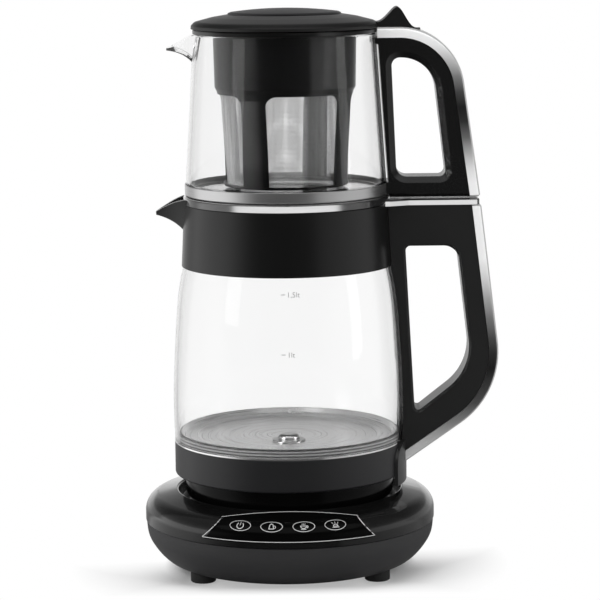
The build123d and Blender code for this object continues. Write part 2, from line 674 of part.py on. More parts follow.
SEAL_FOOT_Z = LEDGE_TOP_Z + SEAT_GAP
SEAL_TOP_Z = PLATE_RIM_Z - 0.6
plate_seal = turned(
    [
        (LEDGE_INNER, SEAL_FOOT_Z),
        (BAND_INNER - 2 * SEAT_GAP - 0.4, SEAL_FOOT_Z),
        (TRIM_RING_INNER - 2 * SEAT_GAP, TRIM_RING_TOP_Z),
        (TRIM_RING_INNER - 2 * SEAT_GAP, SEAL_TOP_Z),
        (PLATE_RIM + SEAT_GAP, SEAL_TOP_Z),
        (PLATE_RIM - 1.2, PLATE_UNDER_Z + 1.2),
        (PLATE_RIM - 2.2, PLATE_UNDER_Z + 0.6),
        (LEDGE_INNER, PLATE_UNDER_Z + 0.6),
    ]
)
plate_seal.part.label = "plate_seal"
export_step(plate_seal.part, "parts/plate_seal.step")

SPREADER_TOP_Z = PLATE_UNDER_Z - SEAT_GAP
SPREADER_Z = SPREADER_TOP_Z - 3.0
SPREADER_RADIUS = PLATE_DISC - 3.2
SENSOR_STEM = SENSOR_HOLE - SEAT_GAP
with BuildPart() as heat_spreader:
    with BuildSketch(Plane.XY.offset(SPREADER_Z)):
        Circle(SPREADER_RADIUS)
        with Locations((0, -SENSOR_REACH)):
            Circle(SENSOR_HOLE + 2.0, mode=Mode.SUBTRACT)
    extrude(amount=SPREADER_TOP_Z - SPREADER_Z)
heat_spreader.part.label = "heat_spreader"
export_step(heat_spreader.part, "parts/heat_spreader.step")

# Tubular heating element under the spreader, open where its ends turn down.
ELEMENT_RADIUS = 44.0
ELEMENT_TUBE = 3.4
ELEMENT_HALF_GAP = 28.0  # degrees that the loop stays open, either side of +X
ELEMENT_Z = SPREADER_Z - ELEMENT_TUBE - SEAT_GAP
with BuildPart() as heating_element:
    loop_start = on_circle(1, ELEMENT_HALF_GAP)
    with BuildSketch(Plane((0, 0, 0), (*loop_start, 0), (loop_start[1], -loop_start[0], 0))):
        with Locations((ELEMENT_RADIUS, ELEMENT_Z)):
            Circle(ELEMENT_TUBE)
    revolve(axis=Axis.Z, revolution_arc=360 - 2 * ELEMENT_HALF_GAP)
heating_element.part.label = "heating_element"
export_step(heating_element.part, "parts/heating_element.step")

TERMINAL_LENGTH = 8.0
TERMINAL_ANGLE = ELEMENT_HALF_GAP + 3.0
TERMINAL_TOP_Z = ELEMENT_Z - ELEMENT_TUBE - SEAT_GAP
element_terminals = post(
    1.6,
    TERMINAL_TOP_Z - TERMINAL_LENGTH,
    TERMINAL_TOP_Z,
    [on_circle(ELEMENT_RADIUS, side * TERMINAL_ANGLE) for side in (1, -1)],
)
element_terminals.part.label = "element_terminals"
export_step(element_terminals.part, "parts/element_terminals.step")

# Thermal control: it sits on the socket and feels the heat spreader.
CONTROL_Z = SOCKET_TOP_Z + LIFT_GAP
CONTROL_SHOULDER_Z = CONTROL_Z + 8.0
with BuildPart() as thermal_control:
    with BuildSketch(Plane.XY.offset(CONTROL_Z)):
        Circle(18.0)
    extrude(amount=CONTROL_SHOULDER_Z - CONTROL_Z)
    with BuildSketch(Plane.XY.offset(CONTROL_SHOULDER_Z)) as shoulder_section:
        Rectangle(46.0, 12.0)
        fillet(shoulder_section.vertices(), 3.0)
    extrude(amount=SPREADER_Z - SEAT_GAP - CONTROL_SHOULDER_Z)
thermal_control.part.label = "thermal_control"
export_step(thermal_control.part, "parts/thermal_control.step")

# Temperature sensor: a steel dome on a washer, its stem through the plate.
SENSOR_FOOT_Z = SPREADER_Z - 3.0
SENSOR_DOME_RADIUS = 6.8
SENSOR_DOME_HEIGHT = 4.4
WASHER_RADIUS = 10.4
WASHER_HEIGHT = 1.0
with BuildPart() as plate_sensor:
    with BuildSketch(Plane.XZ.offset(SENSOR_REACH)):
        with BuildLine():
            FilletPolyline(
                (0, SENSOR_FOOT_Z),
                (SENSOR_STEM, SENSOR_FOOT_Z),
                (SENSOR_STEM, PLATE_Z + SEAT_GAP),
                (WASHER_RADIUS, PLATE_Z + SEAT_GAP),
                (WASHER_RADIUS, PLATE_Z + WASHER_HEIGHT),
                (SENSOR_DOME_RADIUS, PLATE_Z + WASHER_HEIGHT),
                (SENSOR_DOME_RADIUS, PLATE_Z + SENSOR_DOME_HEIGHT),
                (0, PLATE_Z + SENSOR_DOME_HEIGHT),
                radius=[0, 0, 0, 0, 0.4, 0.3, 2.6, 0],
                close=True,
            )
        make_face()
    revolve(axis=Axis((0, -SENSOR_REACH, 0), (0, 0, 1)))
plate_sensor.part.label = "plate_sensor"
export_step(plate_sensor.part, "parts/plate_sensor.step")

# ---------------------------------------------------------------------------
# Kettle: glass, collar with its spout, and the ring on its rim
# ---------------------------------------------------------------------------
glass_outer = kettle_side(0)
glass_inner = kettle_side(GLASS_WALL)
GLASS_TOP_OUTER = collar_radius(GLASS_TOP_Z) - COLLAR_WALL - SEAT_GAP
GLASS_TOP_INNER = GLASS_TOP_OUTER - GLASS_WALL
with BuildPart() as kettle_glass:
    with BuildSketch(Plane.XZ):
        with BuildLine():
            Spline(*glass_outer)
            Polyline(
                glass_outer[-1],
                (GLASS_TOP_OUTER, GLASS_TOP_Z),
                (GLASS_TOP_INNER, GLASS_TOP_Z),
                glass_inner[-1],
            )
            Spline(*glass_inner)
            Line(glass_inner[0], glass_outer[0])
        make_face()
    revolve(axis=Axis.Z)
kettle_glass.part.label = "kettle_glass"
export_step(kettle_glass.part, "parts/kettle_glass.step")

COLLAR_LEDGE_Z = GLASS_TOP_Z + 1.2
collar_seal = tube(
    GLASS_TOP_INNER, GLASS_TOP_OUTER - SEAT_GAP, GLASS_TOP_Z + SEAT_GAP, COLLAR_LEDGE_Z - SEAT_GAP
)
collar_seal.part.label = "collar_seal"
export_step(collar_seal.part, "parts/collar_seal.step")

# Collar: a cone around the glass, drawn out into a beak opposite the handle,
# with a lug on the handle's side that the handle is screwed to.
SPOUT_REACH = 17.8  # tip of the beak beyond the collar's rim
SPOUT_WALL = 2.0
SPOUT_CHANNEL_LIFT = 6.0
collar_beak = [
    (NECK_RADIUS - 6.0, 21.0, KETTLE_RIM_Z - 33.0, KETTLE_RIM_Z + 3.2),
    (NECK_RADIUS + 3.2, 15.5, KETTLE_RIM_Z - 17.8, KETTLE_RIM_Z + 2.4),
    (NECK_RADIUS + 9.6, 9.6, KETTLE_RIM_Z - 12.2, KETTLE_RIM_Z - 0.4),
    (NECK_RADIUS + SPOUT_REACH, 3.2, KETTLE_RIM_Z - 7.8, KETTLE_RIM_Z - 5.2),
]
collar_beak_shell = beak(collar_beak, 0, 0)
collar_beak_channel = beak(collar_beak, SPOUT_WALL, SPOUT_CHANNEL_LIFT)
LUG_Z = KETTLE_RIM_Z - 7.6
LUG_HEIGHT = 3.0
LUG_REACH = NECK_RADIUS + 18.5
LUG_WIDTH = 18.0
LUG_SCREWS = [(LUG_REACH - 4.5, 0), (LUG_REACH - 12.0, 0)]
HANDLE_SCREW_RADIUS = 1.5
RING_FOOT_Z = KETTLE_RIM_Z + SEAT_GAP
RING_RADIUS = NECK_RADIUS + 0.2
with BuildPart() as kettle_collar:
    with BuildSketch(Plane.XY.offset(LUG_Z)):
        Rectangle(LUG_REACH, LUG_WIDTH, align=(Align.MIN, Align.CENTER))
    extrude(amount=LUG_HEIGHT)
    add(collar_beak_shell.part)
    with BuildSketch(Plane.XY.offset(COLLAR_Z)):
        Circle(collar_radius(KETTLE_RIM_Z))
    extrude(amount=2 * COLLAR_HEIGHT, mode=Mode.SUBTRACT)
    with BuildSketch(Plane.XY.offset(KETTLE_RIM_Z)):
        Circle(RING_RADIUS + SEAT_GAP)
    extrude(amount=COLLAR_HEIGHT, mode=Mode.SUBTRACT)
    with BuildSketch(Plane.XZ):
        with BuildLine():
            FilletPolyline(
                (COLLAR_RADIUS, COLLAR_Z),
                (collar_radius(KETTLE_RIM_Z), KETTLE_RIM_Z),
                (MOUTH_RADIUS, KETTLE_RIM_Z),
                (MOUTH_RADIUS, COLLAR_LEDGE_Z),
                (collar_radius(COLLAR_LEDGE_Z) - COLLAR_WALL, COLLAR_LEDGE_Z),
                (COLLAR_RADIUS - COLLAR_WALL, COLLAR_Z),
                radius=[0.3, 0.6, 0.6, 0.6, 0, 0],
                close=True,
            )
        make_face()
    revolve(axis=Axis.Z)
    with BuildSketch(Plane.XY.offset(LUG_Z)):
        with Locations(*LUG_SCREWS):
            Circle(HANDLE_SCREW_RADIUS + SEAT_GAP)
    extrude(amount=LUG_HEIGHT, mode=Mode.SUBTRACT)
    add(collar_beak_channel.part, mode=Mode.SUBTRACT)
kettle_collar.part.label = "kettle_collar"
export_step(kettle_collar.part, "parts/kettle_collar.step")

# Bright ring on the rim, with a tongue that covers the top of the handle.
RING_INNER = NECK_RADIUS - 4.5
TONGUE_Z = KETTLE_RIM_Z - 1.6
TONGUE_HEIGHT = 4.0
HANDLE_TOP_REACH = KETTLE_RADIUS + 49.4
TONGUE_REACH = HANDLE_TOP_REACH - 0.6
TONGUE_FLARE = 6.0
TONGUE_CORNER = 3.0
with BuildPart() as kettle_rim_ring:
    with BuildSketch(Plane.XY.offset(TONGUE_Z)):
        with BuildLine():
            Polyline(
                (0, -HANDLE_DEPTH / 2 - 2.5 * TONGUE_FLARE),
                (NECK_RADIUS, -HANDLE_DEPTH / 2 - TONGUE_FLARE),
                (NECK_RADIUS + 2 * TONGUE_FLARE, -HANDLE_DEPTH / 2),
                (TONGUE_REACH, -HANDLE_DEPTH / 2),
                (TONGUE_REACH, HANDLE_DEPTH / 2),
                (NECK_RADIUS + 2 * TONGUE_FLARE, HANDLE_DEPTH / 2),
                (NECK_RADIUS, HANDLE_DEPTH / 2 + TONGUE_FLARE),
                (0, HANDLE_DEPTH / 2 + 2.5 * TONGUE_FLARE),
                close=True,
            )
        make_face()
    extrude(amount=TONGUE_HEIGHT)
    fillet(kettle_rim_ring.edges().filter_by(Axis.Z).group_by(Axis.X)[-1], TONGUE_CORNER)
    fillet(kettle_rim_ring.faces().sort_by(Axis.Z)[-1].edges(), 1.2)
    with BuildSketch(Plane.XY.offset(TONGUE_Z)):
        Circle(RING_RADIUS)
    extrude(amount=TONGUE_HEIGHT, mode=Mode.SUBTRACT)
    with BuildSketch(Plane.XZ):
        with BuildLine():
            FilletPolyline(
                (RING_INNER, RING_FOOT_Z),
                (RING_RADIUS, RING_FOOT_Z),
                (RING_RADIUS, RIM_RING_TOP_Z),
                (RING_INNER, RIM_RING_TOP_Z),
                radius=[0.4, 0, 1.2, 0.6],
                close=True,
            )
        make_face()
    revolve(axis=Axis.Z)
kettle_rim_ring.part.label = "kettle_rim_ring"
export_step(kettle_rim_ring.part, "parts/kettle_rim_ring.step")

# ---------------------------------------------------------------------------
# Kettle: handle
# ---------------------------------------------------------------------------
HANDLE_TOP_Z = TONGUE_Z - SEAT_GAP
TRIM_THICKNESS = 5.9
TRIM_END_CHAMFER = 1.2
ELBOW_REACH = KETTLE_RADIUS + HANDLE_REACH + 4.1
ELBOW_Z = GLASS_Z + 28.8
ELBOW_RADIUS = 56.0
HANDLE_FOOT_REACH = KETTLE_RADIUS + 1.0
HANDLE_FOOT_Z = BAND_Z + 6.6
TRIM_ROUNDING = 2.0
FOOT_PLATE_INNER = BAND_RADIUS + SEAT_GAP
FOOT_PLATE_OUTER = FOOT_PLATE_INNER + 2.0
handle_corners = [
    (HANDLE_TOP_REACH, TONGUE_Z + TONGUE_HEIGHT),
    (ELBOW_REACH, ELBOW_Z),
    (HANDLE_FOOT_REACH, HANDLE_FOOT_Z),
]
with BuildPart() as kettle_handle_trim:
    add(strip(handle_corners, ELBOW_RADIUS, TRIM_THICKNESS, HANDLE_DEPTH, TRIM_ROUNDING).part)
    with BuildSketch(Plane.XY.offset(BASE_HEIGHT)):
        Circle(FOOT_PLATE_OUTER + SEAT_GAP)
    extrude(amount=KETTLE_HEIGHT, mode=Mode.SUBTRACT)
    with BuildSketch(Plane.XY.offset(HANDLE_TOP_Z)):
        Rectangle(2 * ELBOW_REACH, 2 * HANDLE_DEPTH, align=(Align.MIN, Align.CENTER))
    extrude(amount=COLLAR_HEIGHT, mode=Mode.SUBTRACT)
    trim_end = kettle_handle_trim.faces().sort_by(Axis.Z)[-1]
    chamfer(trim_end.edges().filter_by(Axis.Y).sort_by(Axis.X)[-1], TRIM_END_CHAMFER)
kettle_handle_trim.part.label = "kettle_handle_trim"
export_step(kettle_handle_trim.part, "parts/kettle_handle_trim.step")

CORE_DEPTH = HANDLE_DEPTH - 1.0
FOOT_PLATE_Z = BAND_Z - 5.4
FOOT_PLATE_HALF = 31.0
FOOT_PLATE_ROUNDING = 13.0
LUG_POCKET = 1.0
HANDLE_SCREW_DEPTH = 13.0
HANDLE_SCREW_HEAD = 2.6
trim_cut = strip(handle_corners, ELBOW_RADIUS, TRIM_THICKNESS + SEAT_GAP, 2 * HANDLE_DEPTH, 0)
kettle_window = cut_window(
    [
        (KETTLE_RADIUS + 1.7, COLLAR_Z + 12.2),
        (KETTLE_RADIUS + 34.8, COLLAR_Z + 12.2),
        (KETTLE_RADIUS + 43.9, GLASS_Z + 44.7),
        (KETTLE_RADIUS + 7.3, GLASS_Z + 16.0),
    ],
    [3.0, 10.0, 34.0, 2.5],
    2.0,
    2.0,
)
kettle_skin = kettle_side(-LIFT_GAP)
with BuildPart() as kettle_envelope:
    with BuildSketch(Plane.XZ):
        with BuildLine():
            Polyline((0, BASE_HEIGHT), (FOOT_PLATE_INNER, BASE_HEIGHT), kettle_skin[0])
            Spline(*kettle_skin)
            Polyline(
                kettle_skin[-1],
                (COLLAR_RADIUS + SEAT_GAP, COLLAR_Z - SEAT_GAP),
                (collar_radius(KETTLE_RIM_Z) + SEAT_GAP, KETTLE_RIM_Z),
                (0, KETTLE_RIM_Z),
                (0, BASE_HEIGHT),
            )
        make_face()
    revolve(axis=Axis.Z)

# Core of the handle, with its foot plate on the band and a pocket for the lug.
with BuildPart() as kettle_handle:
    with BuildSketch(Plane.XZ):
        with BuildLine():
            FilletPolyline(
                (NECK_RADIUS - 6.0, HANDLE_TOP_Z),
                (HANDLE_TOP_REACH - 1.0, HANDLE_TOP_Z),
                (ELBOW_REACH - 1.0, ELBOW_Z),
                (HANDLE_FOOT_REACH, HANDLE_FOOT_Z + 1.0),
                (KETTLE_RADIUS - 8.0, HANDLE_FOOT_Z + 1.0),
                radius=[0, 0, ELBOW_RADIUS, 0, 0],
                close=True,
            )
        make_face()
    extrude(amount=CORE_DEPTH / 2, both=True)
    add(trim_cut.part, mode=Mode.SUBTRACT)
    add(kettle_window.part, mode=Mode.SUBTRACT)
    with BuildSketch(Plane.YZ) as foot_arch:
        with Locations((0, FOOT_PLATE_Z)):
            Rectangle(2 * FOOT_PLATE_HALF, BAND_TOP_Z - FOOT_PLATE_Z, align=(Align.CENTER, Align.MIN))
        fillet(foot_arch.vertices().group_by(Axis.Y)[-1], FOOT_PLATE_ROUNDING)
    foot_block = extrude(amount=2 * KETTLE_RADIUS, mode=Mode.PRIVATE)
    with BuildSketch(Plane.XY.offset(FOOT_PLATE_Z)):
        Circle(FOOT_PLATE_OUTER)
    foot_disc = extrude(amount=BAND_HEIGHT + BAND_Z, mode=Mode.PRIVATE)
    add(foot_block & foot_disc)
    add(kettle_envelope.part, mode=Mode.SUBTRACT)
    with BuildSketch(Plane.XY.offset(LUG_Z - SEAT_GAP)):
        Rectangle(LUG_REACH + LUG_POCKET, LUG_WIDTH + 2 * LUG_POCKET, align=(Align.MIN, Align.CENTER))
    extrude(amount=COLLAR_HEIGHT, mode=Mode.SUBTRACT)
    with BuildSketch(Plane.XY.offset(LUG_Z)):
        with Locations(*LUG_SCREWS):
            Circle(HANDLE_SCREW_RADIUS + SEAT_GAP)
    extrude(amount=-HANDLE_SCREW_DEPTH, mode=Mode.SUBTRACT)
kettle_handle.part.label = "kettle_handle"
export_step(kettle_handle.part, "parts/kettle_handle.step")

HANDLE_SCREW_Z = LUG_Z + LUG_HEIGHT + SEAT_GAP
with BuildPart() as handle_screws:
    with BuildSketch(Plane.XY.offset(HANDLE_SCREW_Z)):
        with Locations(*LUG_SCREWS):
            Circle(HANDLE_SCREW_HEAD)
    extrude(amount=1.8)
    chamfer(handle_screws.faces().group_by(Axis.Z)[-1].edges(), 0.5)
    with BuildSketch(Plane.XY.offset(HANDLE_SCREW_Z)):
        with Locations(*LUG_SCREWS):
            Circle(HANDLE_SCREW_RADIUS)
    extrude(amount=-HANDLE_SCREW_DEPTH - LUG_HEIGHT + 1.0)
handle_screws.part.label = "handle_screws"
export_step(handle_screws.part, "parts/handle_screws.step")

# ---------------------------------------------------------------------------
# Teapot: band, seal and glass
# ---------------------------------------------------------------------------
PLUG_RADIUS = TEAPOT_RADIUS - 4.1  # rim of the band that drops into the kettle
PLUG_Z = TEAPOT_Z - 3.0
TEAPOT_BAND_TOP_Z = TEAPOT_Z + TEAPOT_BAND_HEIGHT
TEAPOT_BAND_INNER = TEAPOT_RADIUS + SEAT_GAP
teapot_band = turned(
    [
        (PLUG_RADIUS - STEEL_SHEET, PLUG_Z),
        (PLUG_RADIUS, PLUG_Z),
        (PLUG_RADIUS, TEAPOT_Z),
        (TEAPOT_BAND_RADIUS, TEAPOT_Z),
        (TEAPOT_BAND_RADIUS, TEAPOT_BAND_TOP_Z),
        (TEAPOT_BAND_INNER, TEAPOT_BAND_TOP_Z),
        (TEAPOT_BAND_INNER, TEAPOT_Z + STEEL_SHEET),
        (PLUG_RADIUS - STEEL_SHEET, TEAPOT_Z + STEEL_SHEET),
    ],
    [0, 0, 0, 1.2, 0.3, 0, 0.4, 0.4],
)
teapot_band.part.label = "teapot_band"
export_step(teapot_band.part, "parts/teapot_band.step")

TEAPOT_CORNER = 6.0
teapot_seal = tube(
    PLUG_RADIUS - STEEL_SHEET,
    TEAPOT_RADIUS - TEAPOT_CORNER + 2.0,
    TEAPOT_Z + STEEL_SHEET + SEAT_GAP,
    TEAPOT_GLASS_Z - SEAT_GAP,
)
teapot_seal.part.label = "teapot_seal"
export_step(teapot_seal.part, "parts/teapot_seal.step")

TEAPOT_SPOUT_REACH = 11.1
TEAPOT_SPOUT_WALL = 1.8
TEAPOT_CHANNEL_LIFT = 5.0
MOUTH_BEND = 30.0
teapot_beak = [
    (TEAPOT_RADIUS - 9.7, 17.0, TEAPOT_RIM_Z - 28.9, TEAPOT_RIM_Z + 0.1),
    (TEAPOT_RADIUS - 1.7, 12.0, TEAPOT_RIM_Z - 16.6, TEAPOT_RIM_Z - 1.4),
    (TEAPOT_RADIUS + 4.3, 7.5, TEAPOT_RIM_Z - 12.3, TEAPOT_RIM_Z - 4.7),
    (TEAPOT_RADIUS + TEAPOT_SPOUT_REACH, 2.8, TEAPOT_RIM_Z - 10.2, TEAPOT_RIM_Z - 7.7),
]
teapot_beak_shell = beak(teapot_beak, 0, 0)
teapot_beak_channel = beak(teapot_beak, TEAPOT_SPOUT_WALL, TEAPOT_CHANNEL_LIFT)
with BuildPart() as teapot_glass:
    add(teapot_beak_shell.part)
    with BuildSketch(Plane.XY.offset(TEAPOT_STRAIGHT_Z)):
        Circle(TEAPOT_RIM_RADIUS - 1.0)
    extrude(amount=TEAPOT_HEIGHT, mode=Mode.SUBTRACT)
    with BuildSketch(Plane.XY.offset(TEAPOT_RIM_Z)):
        Circle(FLANGE_RADIUS + 2 * LIFT_GAP)
    extrude(amount=TEAPOT_HEIGHT, mode=Mode.SUBTRACT)
    with BuildSketch(Plane.XZ):
        with BuildLine():
            FilletPolyline(
                (0, TEAPOT_GLASS_Z),
                (TEAPOT_RADIUS, TEAPOT_GLASS_Z),
                (TEAPOT_RADIUS, TEAPOT_STRAIGHT_Z),
                (TEAPOT_RIM_RADIUS, TEAPOT_RIM_Z),
                (TEAPOT_RIM_RADIUS - GLASS_WALL, TEAPOT_RIM_Z),
                (TEAPOT_RADIUS - GLASS_WALL, TEAPOT_STRAIGHT_Z),
                (TEAPOT_RADIUS - GLASS_WALL, TEAPOT_FLOOR_Z),
                (0, TEAPOT_FLOOR_Z),
                radius=[0, TEAPOT_CORNER, MOUTH_BEND, 1.0, 1.0, MOUTH_BEND, 3.5, 0],
                close=True,
            )
        make_face()
    revolve(axis=Axis.Z)
    add(teapot_beak_channel.part, mode=Mode.SUBTRACT)
teapot_glass.part.label = "teapot_glass"
export_step(teapot_glass.part, "parts/teapot_glass.step")

# ---------------------------------------------------------------------------
# Teapot: handle
# ---------------------------------------------------------------------------
GRIP_TOP_Z = TEAPOT_RIM_Z + 3.8
GRIP_BOTTOM_Z = TONGUE_Z + TONGUE_HEIGHT + 1.0
GRIP_TRIM_THICKNESS = 6.5
GRIP_ELBOW_RADIUS = 41.0
GRIP_SHOULDER_REACH = TEAPOT_RADIUS + 44.0
GRIP_FOOT_REACH = TEAPOT_RADIUS + 59.1
GRIP_CORE_TOP_Z = GRIP_TOP_Z - GRIP_TRIM_THICKNESS - SEAT_GAP
GRIP_BOTTOM_CHAMFER = 2.5
grip_corners = [
    (TEAPOT_RIM_RADIUS, GRIP_TOP_Z),
    (GRIP_SHOULDER_REACH, GRIP_TOP_Z),
    (GRIP_FOOT_REACH, GRIP_BOTTOM_Z),
]
LID_CLEARANCE_RADIUS = LID_RADIUS + LIFT_GAP + SEAT_GAP
with BuildPart() as teapot_handle_trim:
    add(strip(grip_corners, GRIP_ELBOW_RADIUS, GRIP_TRIM_THICKNESS, HANDLE_DEPTH, TRIM_ROUNDING).part)
    with BuildSketch(Plane.XY.offset(GRIP_BOTTOM_Z)):
        Circle(LID_CLEARANCE_RADIUS)
    extrude(amount=2 * TEAPOT_HEIGHT, mode=Mode.SUBTRACT)
    with BuildSketch(Plane.XY.offset(GRIP_BOTTOM_Z)):
        Rectangle(2 * GRIP_FOOT_REACH, 2 * HANDLE_DEPTH, align=(Align.MIN, Align.CENTER))
    extrude(amount=-TEAPOT_BAND_HEIGHT, mode=Mode.SUBTRACT)
    grip_trim_end = teapot_handle_trim.faces().sort_by(Axis.Z)[0]
    chamfer(grip_trim_end.edges().filter_by(Axis.Y).sort_by(Axis.X)[-1], TRIM_END_CHAMFER)
teapot_handle_trim.part.label = "teapot_handle_trim"
export_step(teapot_handle_trim.part, "parts/teapot_handle_trim.step")

BRACKET_Z = TEAPOT_Z + 1.6
BRACKET_THICKNESS = 1.6
BRACKET_REACH = TEAPOT_RADIUS + 16.3
BRACKET_WIDTH = 14.0
BRACKET_START = TEAPOT_BAND_RADIUS + 0.05
GRIP_SCREWS = [(BRACKET_REACH - 3.5, 0), (BRACKET_REACH - 11.0, 0)]
GRIP_SCREW_RADIUS = 1.4
GRIP_SCREW_HEAD = 2.6
GRIP_SCREW_POCKET_Z = GRIP_BOTTOM_Z + 2.6
GRIP_SCREW_TOP_Z = BRACKET_Z + BRACKET_THICKNESS + 2.0
RING_CLEARANCE = RING_RADIUS + 2 * LIFT_GAP
grip_trim_cut = strip(
    grip_corners, GRIP_ELBOW_RADIUS, GRIP_TRIM_THICKNESS + SEAT_GAP, 2 * HANDLE_DEPTH, 0
)
grip_window = cut_window(
    [
        (TEAPOT_RADIUS + 3.2, TEAPOT_RIM_Z - 15.3),
        (TEAPOT_RADIUS + 29.0, TEAPOT_RIM_Z - 15.3),
        (TEAPOT_RADIUS + 37.5, TEAPOT_Z + 11.0),
        (TEAPOT_RADIUS + 6.2, TEAPOT_Z + 11.0),
    ],
    [5.0, 22.0, 4.0, 7.0],
    4.6,
    3.0,
)
teapot_envelope = turned(
    [
        (0, GRIP_BOTTOM_Z - 1),
        (RING_CLEARANCE, GRIP_BOTTOM_Z - 1),
        (RING_CLEARANCE, TEAPOT_Z - SEAT_GAP),
        (TEAPOT_BAND_RADIUS + SEAT_GAP, TEAPOT_Z - SEAT_GAP),
        (TEAPOT_BAND_RADIUS + SEAT_GAP, TEAPOT_BAND_TOP_Z + SEAT_GAP),
        (TEAPOT_RADIUS + SEAT_GAP, TEAPOT_BAND_TOP_Z + SEAT_GAP),
        (TEAPOT_RADIUS + SEAT_GAP, TEAPOT_STRAIGHT_Z),
        (TEAPOT_RIM_RADIUS + SEAT_GAP, TEAPOT_RIM_Z),
        (0, TEAPOT_RIM_Z),
    ]
)
with BuildPart() as teapot_handle:
    with BuildSketch(Plane.XZ):
        with BuildLine():
            FilletPolyline(
                (TEAPOT_RIM_RADIUS - 2.0, GRIP_CORE_TOP_Z),
                (GRIP_SHOULDER_REACH, GRIP_CORE_TOP_Z),
                (GRIP_FOOT_REACH - 1.0, GRIP_BOTTOM_Z),
                (TEAPOT_RADIUS - 2.0, GRIP_BOTTOM_Z),
                (TEAPOT_RADIUS - 2.0, TEAPOT_BAND_TOP_Z),
                (TEAPOT_RADIUS + 0.9, TEAPOT_BAND_TOP_Z + 1.0),
                (TEAPOT_RIM_RADIUS + 1.0, TEAPOT_RIM_Z - 6.9),
                (TEAPOT_RIM_RADIUS - 2.0, TEAPOT_RIM_Z - 6.0),
                radius=[0, GRIP_ELBOW_RADIUS, 0, 0, 0, 0, 0, 0],
                close=True,
            )
        make_face()
    extrude(amount=CORE_DEPTH / 2, both=True)
    add(grip_trim_cut.part, mode=Mode.SUBTRACT)
    chamfer(teapot_handle.faces().sort_by(Axis.Z)[0].edges().filter_by(Axis.X), GRIP_BOTTOM_CHAMFER)
    add(grip_window.part, mode=Mode.SUBTRACT)
    add(teapot_envelope.part, mode=Mode.SUBTRACT)
    with BuildSketch(Plane.XY.offset(BRACKET_Z - SEAT_GAP)):
        Rectangle(
            BRACKET_REACH + SEAT_GAP, BRACKET_WIDTH + 2 * SEAT_GAP, align=(Align.MIN, Align.CENTER)
        )
    extrude(amount=BRACKET_THICKNESS + 2 * SEAT_GAP, mode=Mode.SUBTRACT)
    with BuildSketch(Plane.XY.offset(GRIP_BOTTOM_Z)):
        with Locations(*GRIP_SCREWS):
            Circle(GRIP_SCREW_HEAD + 2 * SEAT_GAP)
    extrude(amount=GRIP_SCREW_POCKET_Z - GRIP_BOTTOM_Z, mode=Mode.SUBTRACT)
    with BuildSketch(Plane.XY.offset(GRIP_BOTTOM_Z)):
        with Locations(*GRIP_SCREWS):
            Circle(GRIP_SCREW_RADIUS + SEAT_GAP)
    extrude(amount=GRIP_SCREW_TOP_Z + SEAT_GAP - GRIP_BOTTOM_Z, mode=Mode.SUBTRACT)
teapot_handle.part.label = "teapot_handle"
export_step(teapot_handle.part, "parts/teapot_handle.step")

# Steel tab welded to the band; the handle is screwed to it from below.
with BuildPart() as teapot_bracket:
    with BuildSketch(Plane.XY.offset(BRACKET_Z)):
        Rectangle(BRACKET_REACH, BRACKET_WIDTH, align=(Align.MIN, Align.CENTER))
        Circle(BRACKET_START, mode=Mode.SUBTRACT)
        with Locations(*GRIP_SCREWS):
            Circle(GRIP_SCREW_RADIUS + SEAT_GAP, mode=Mode.SUBTRACT)
    extrude(amount=BRACKET_THICKNESS)
teapot_bracket.part.label = "teapot_bracket"
export_step(teapot_bracket.part, "parts/teapot_bracket.step")

GRIP_SCREW_SEAT_Z = GRIP_SCREW_POCKET_Z - SEAT_GAP
with BuildPart() as teapot_handle_screws:
    with BuildSketch(Plane.XY.offset(GRIP_SCREW_SEAT_Z)):
        with Locations(*GRIP_SCREWS):
            Circle(GRIP_SCREW_HEAD)
    extrude(amount=-1.8)
    with BuildSketch(Plane.XY.offset(GRIP_SCREW_SEAT_Z)):
        with Locations(*GRIP_SCREWS):
            Circle(GRIP_SCREW_RADIUS)
    extrude(amount=GRIP_SCREW_TOP_Z - GRIP_SCREW_SEAT_Z)
teapot_handle_screws.part.label = "teapot_handle_screws"
export_step(teapot_handle_screws.part, "parts/teapot_handle_screws.step")

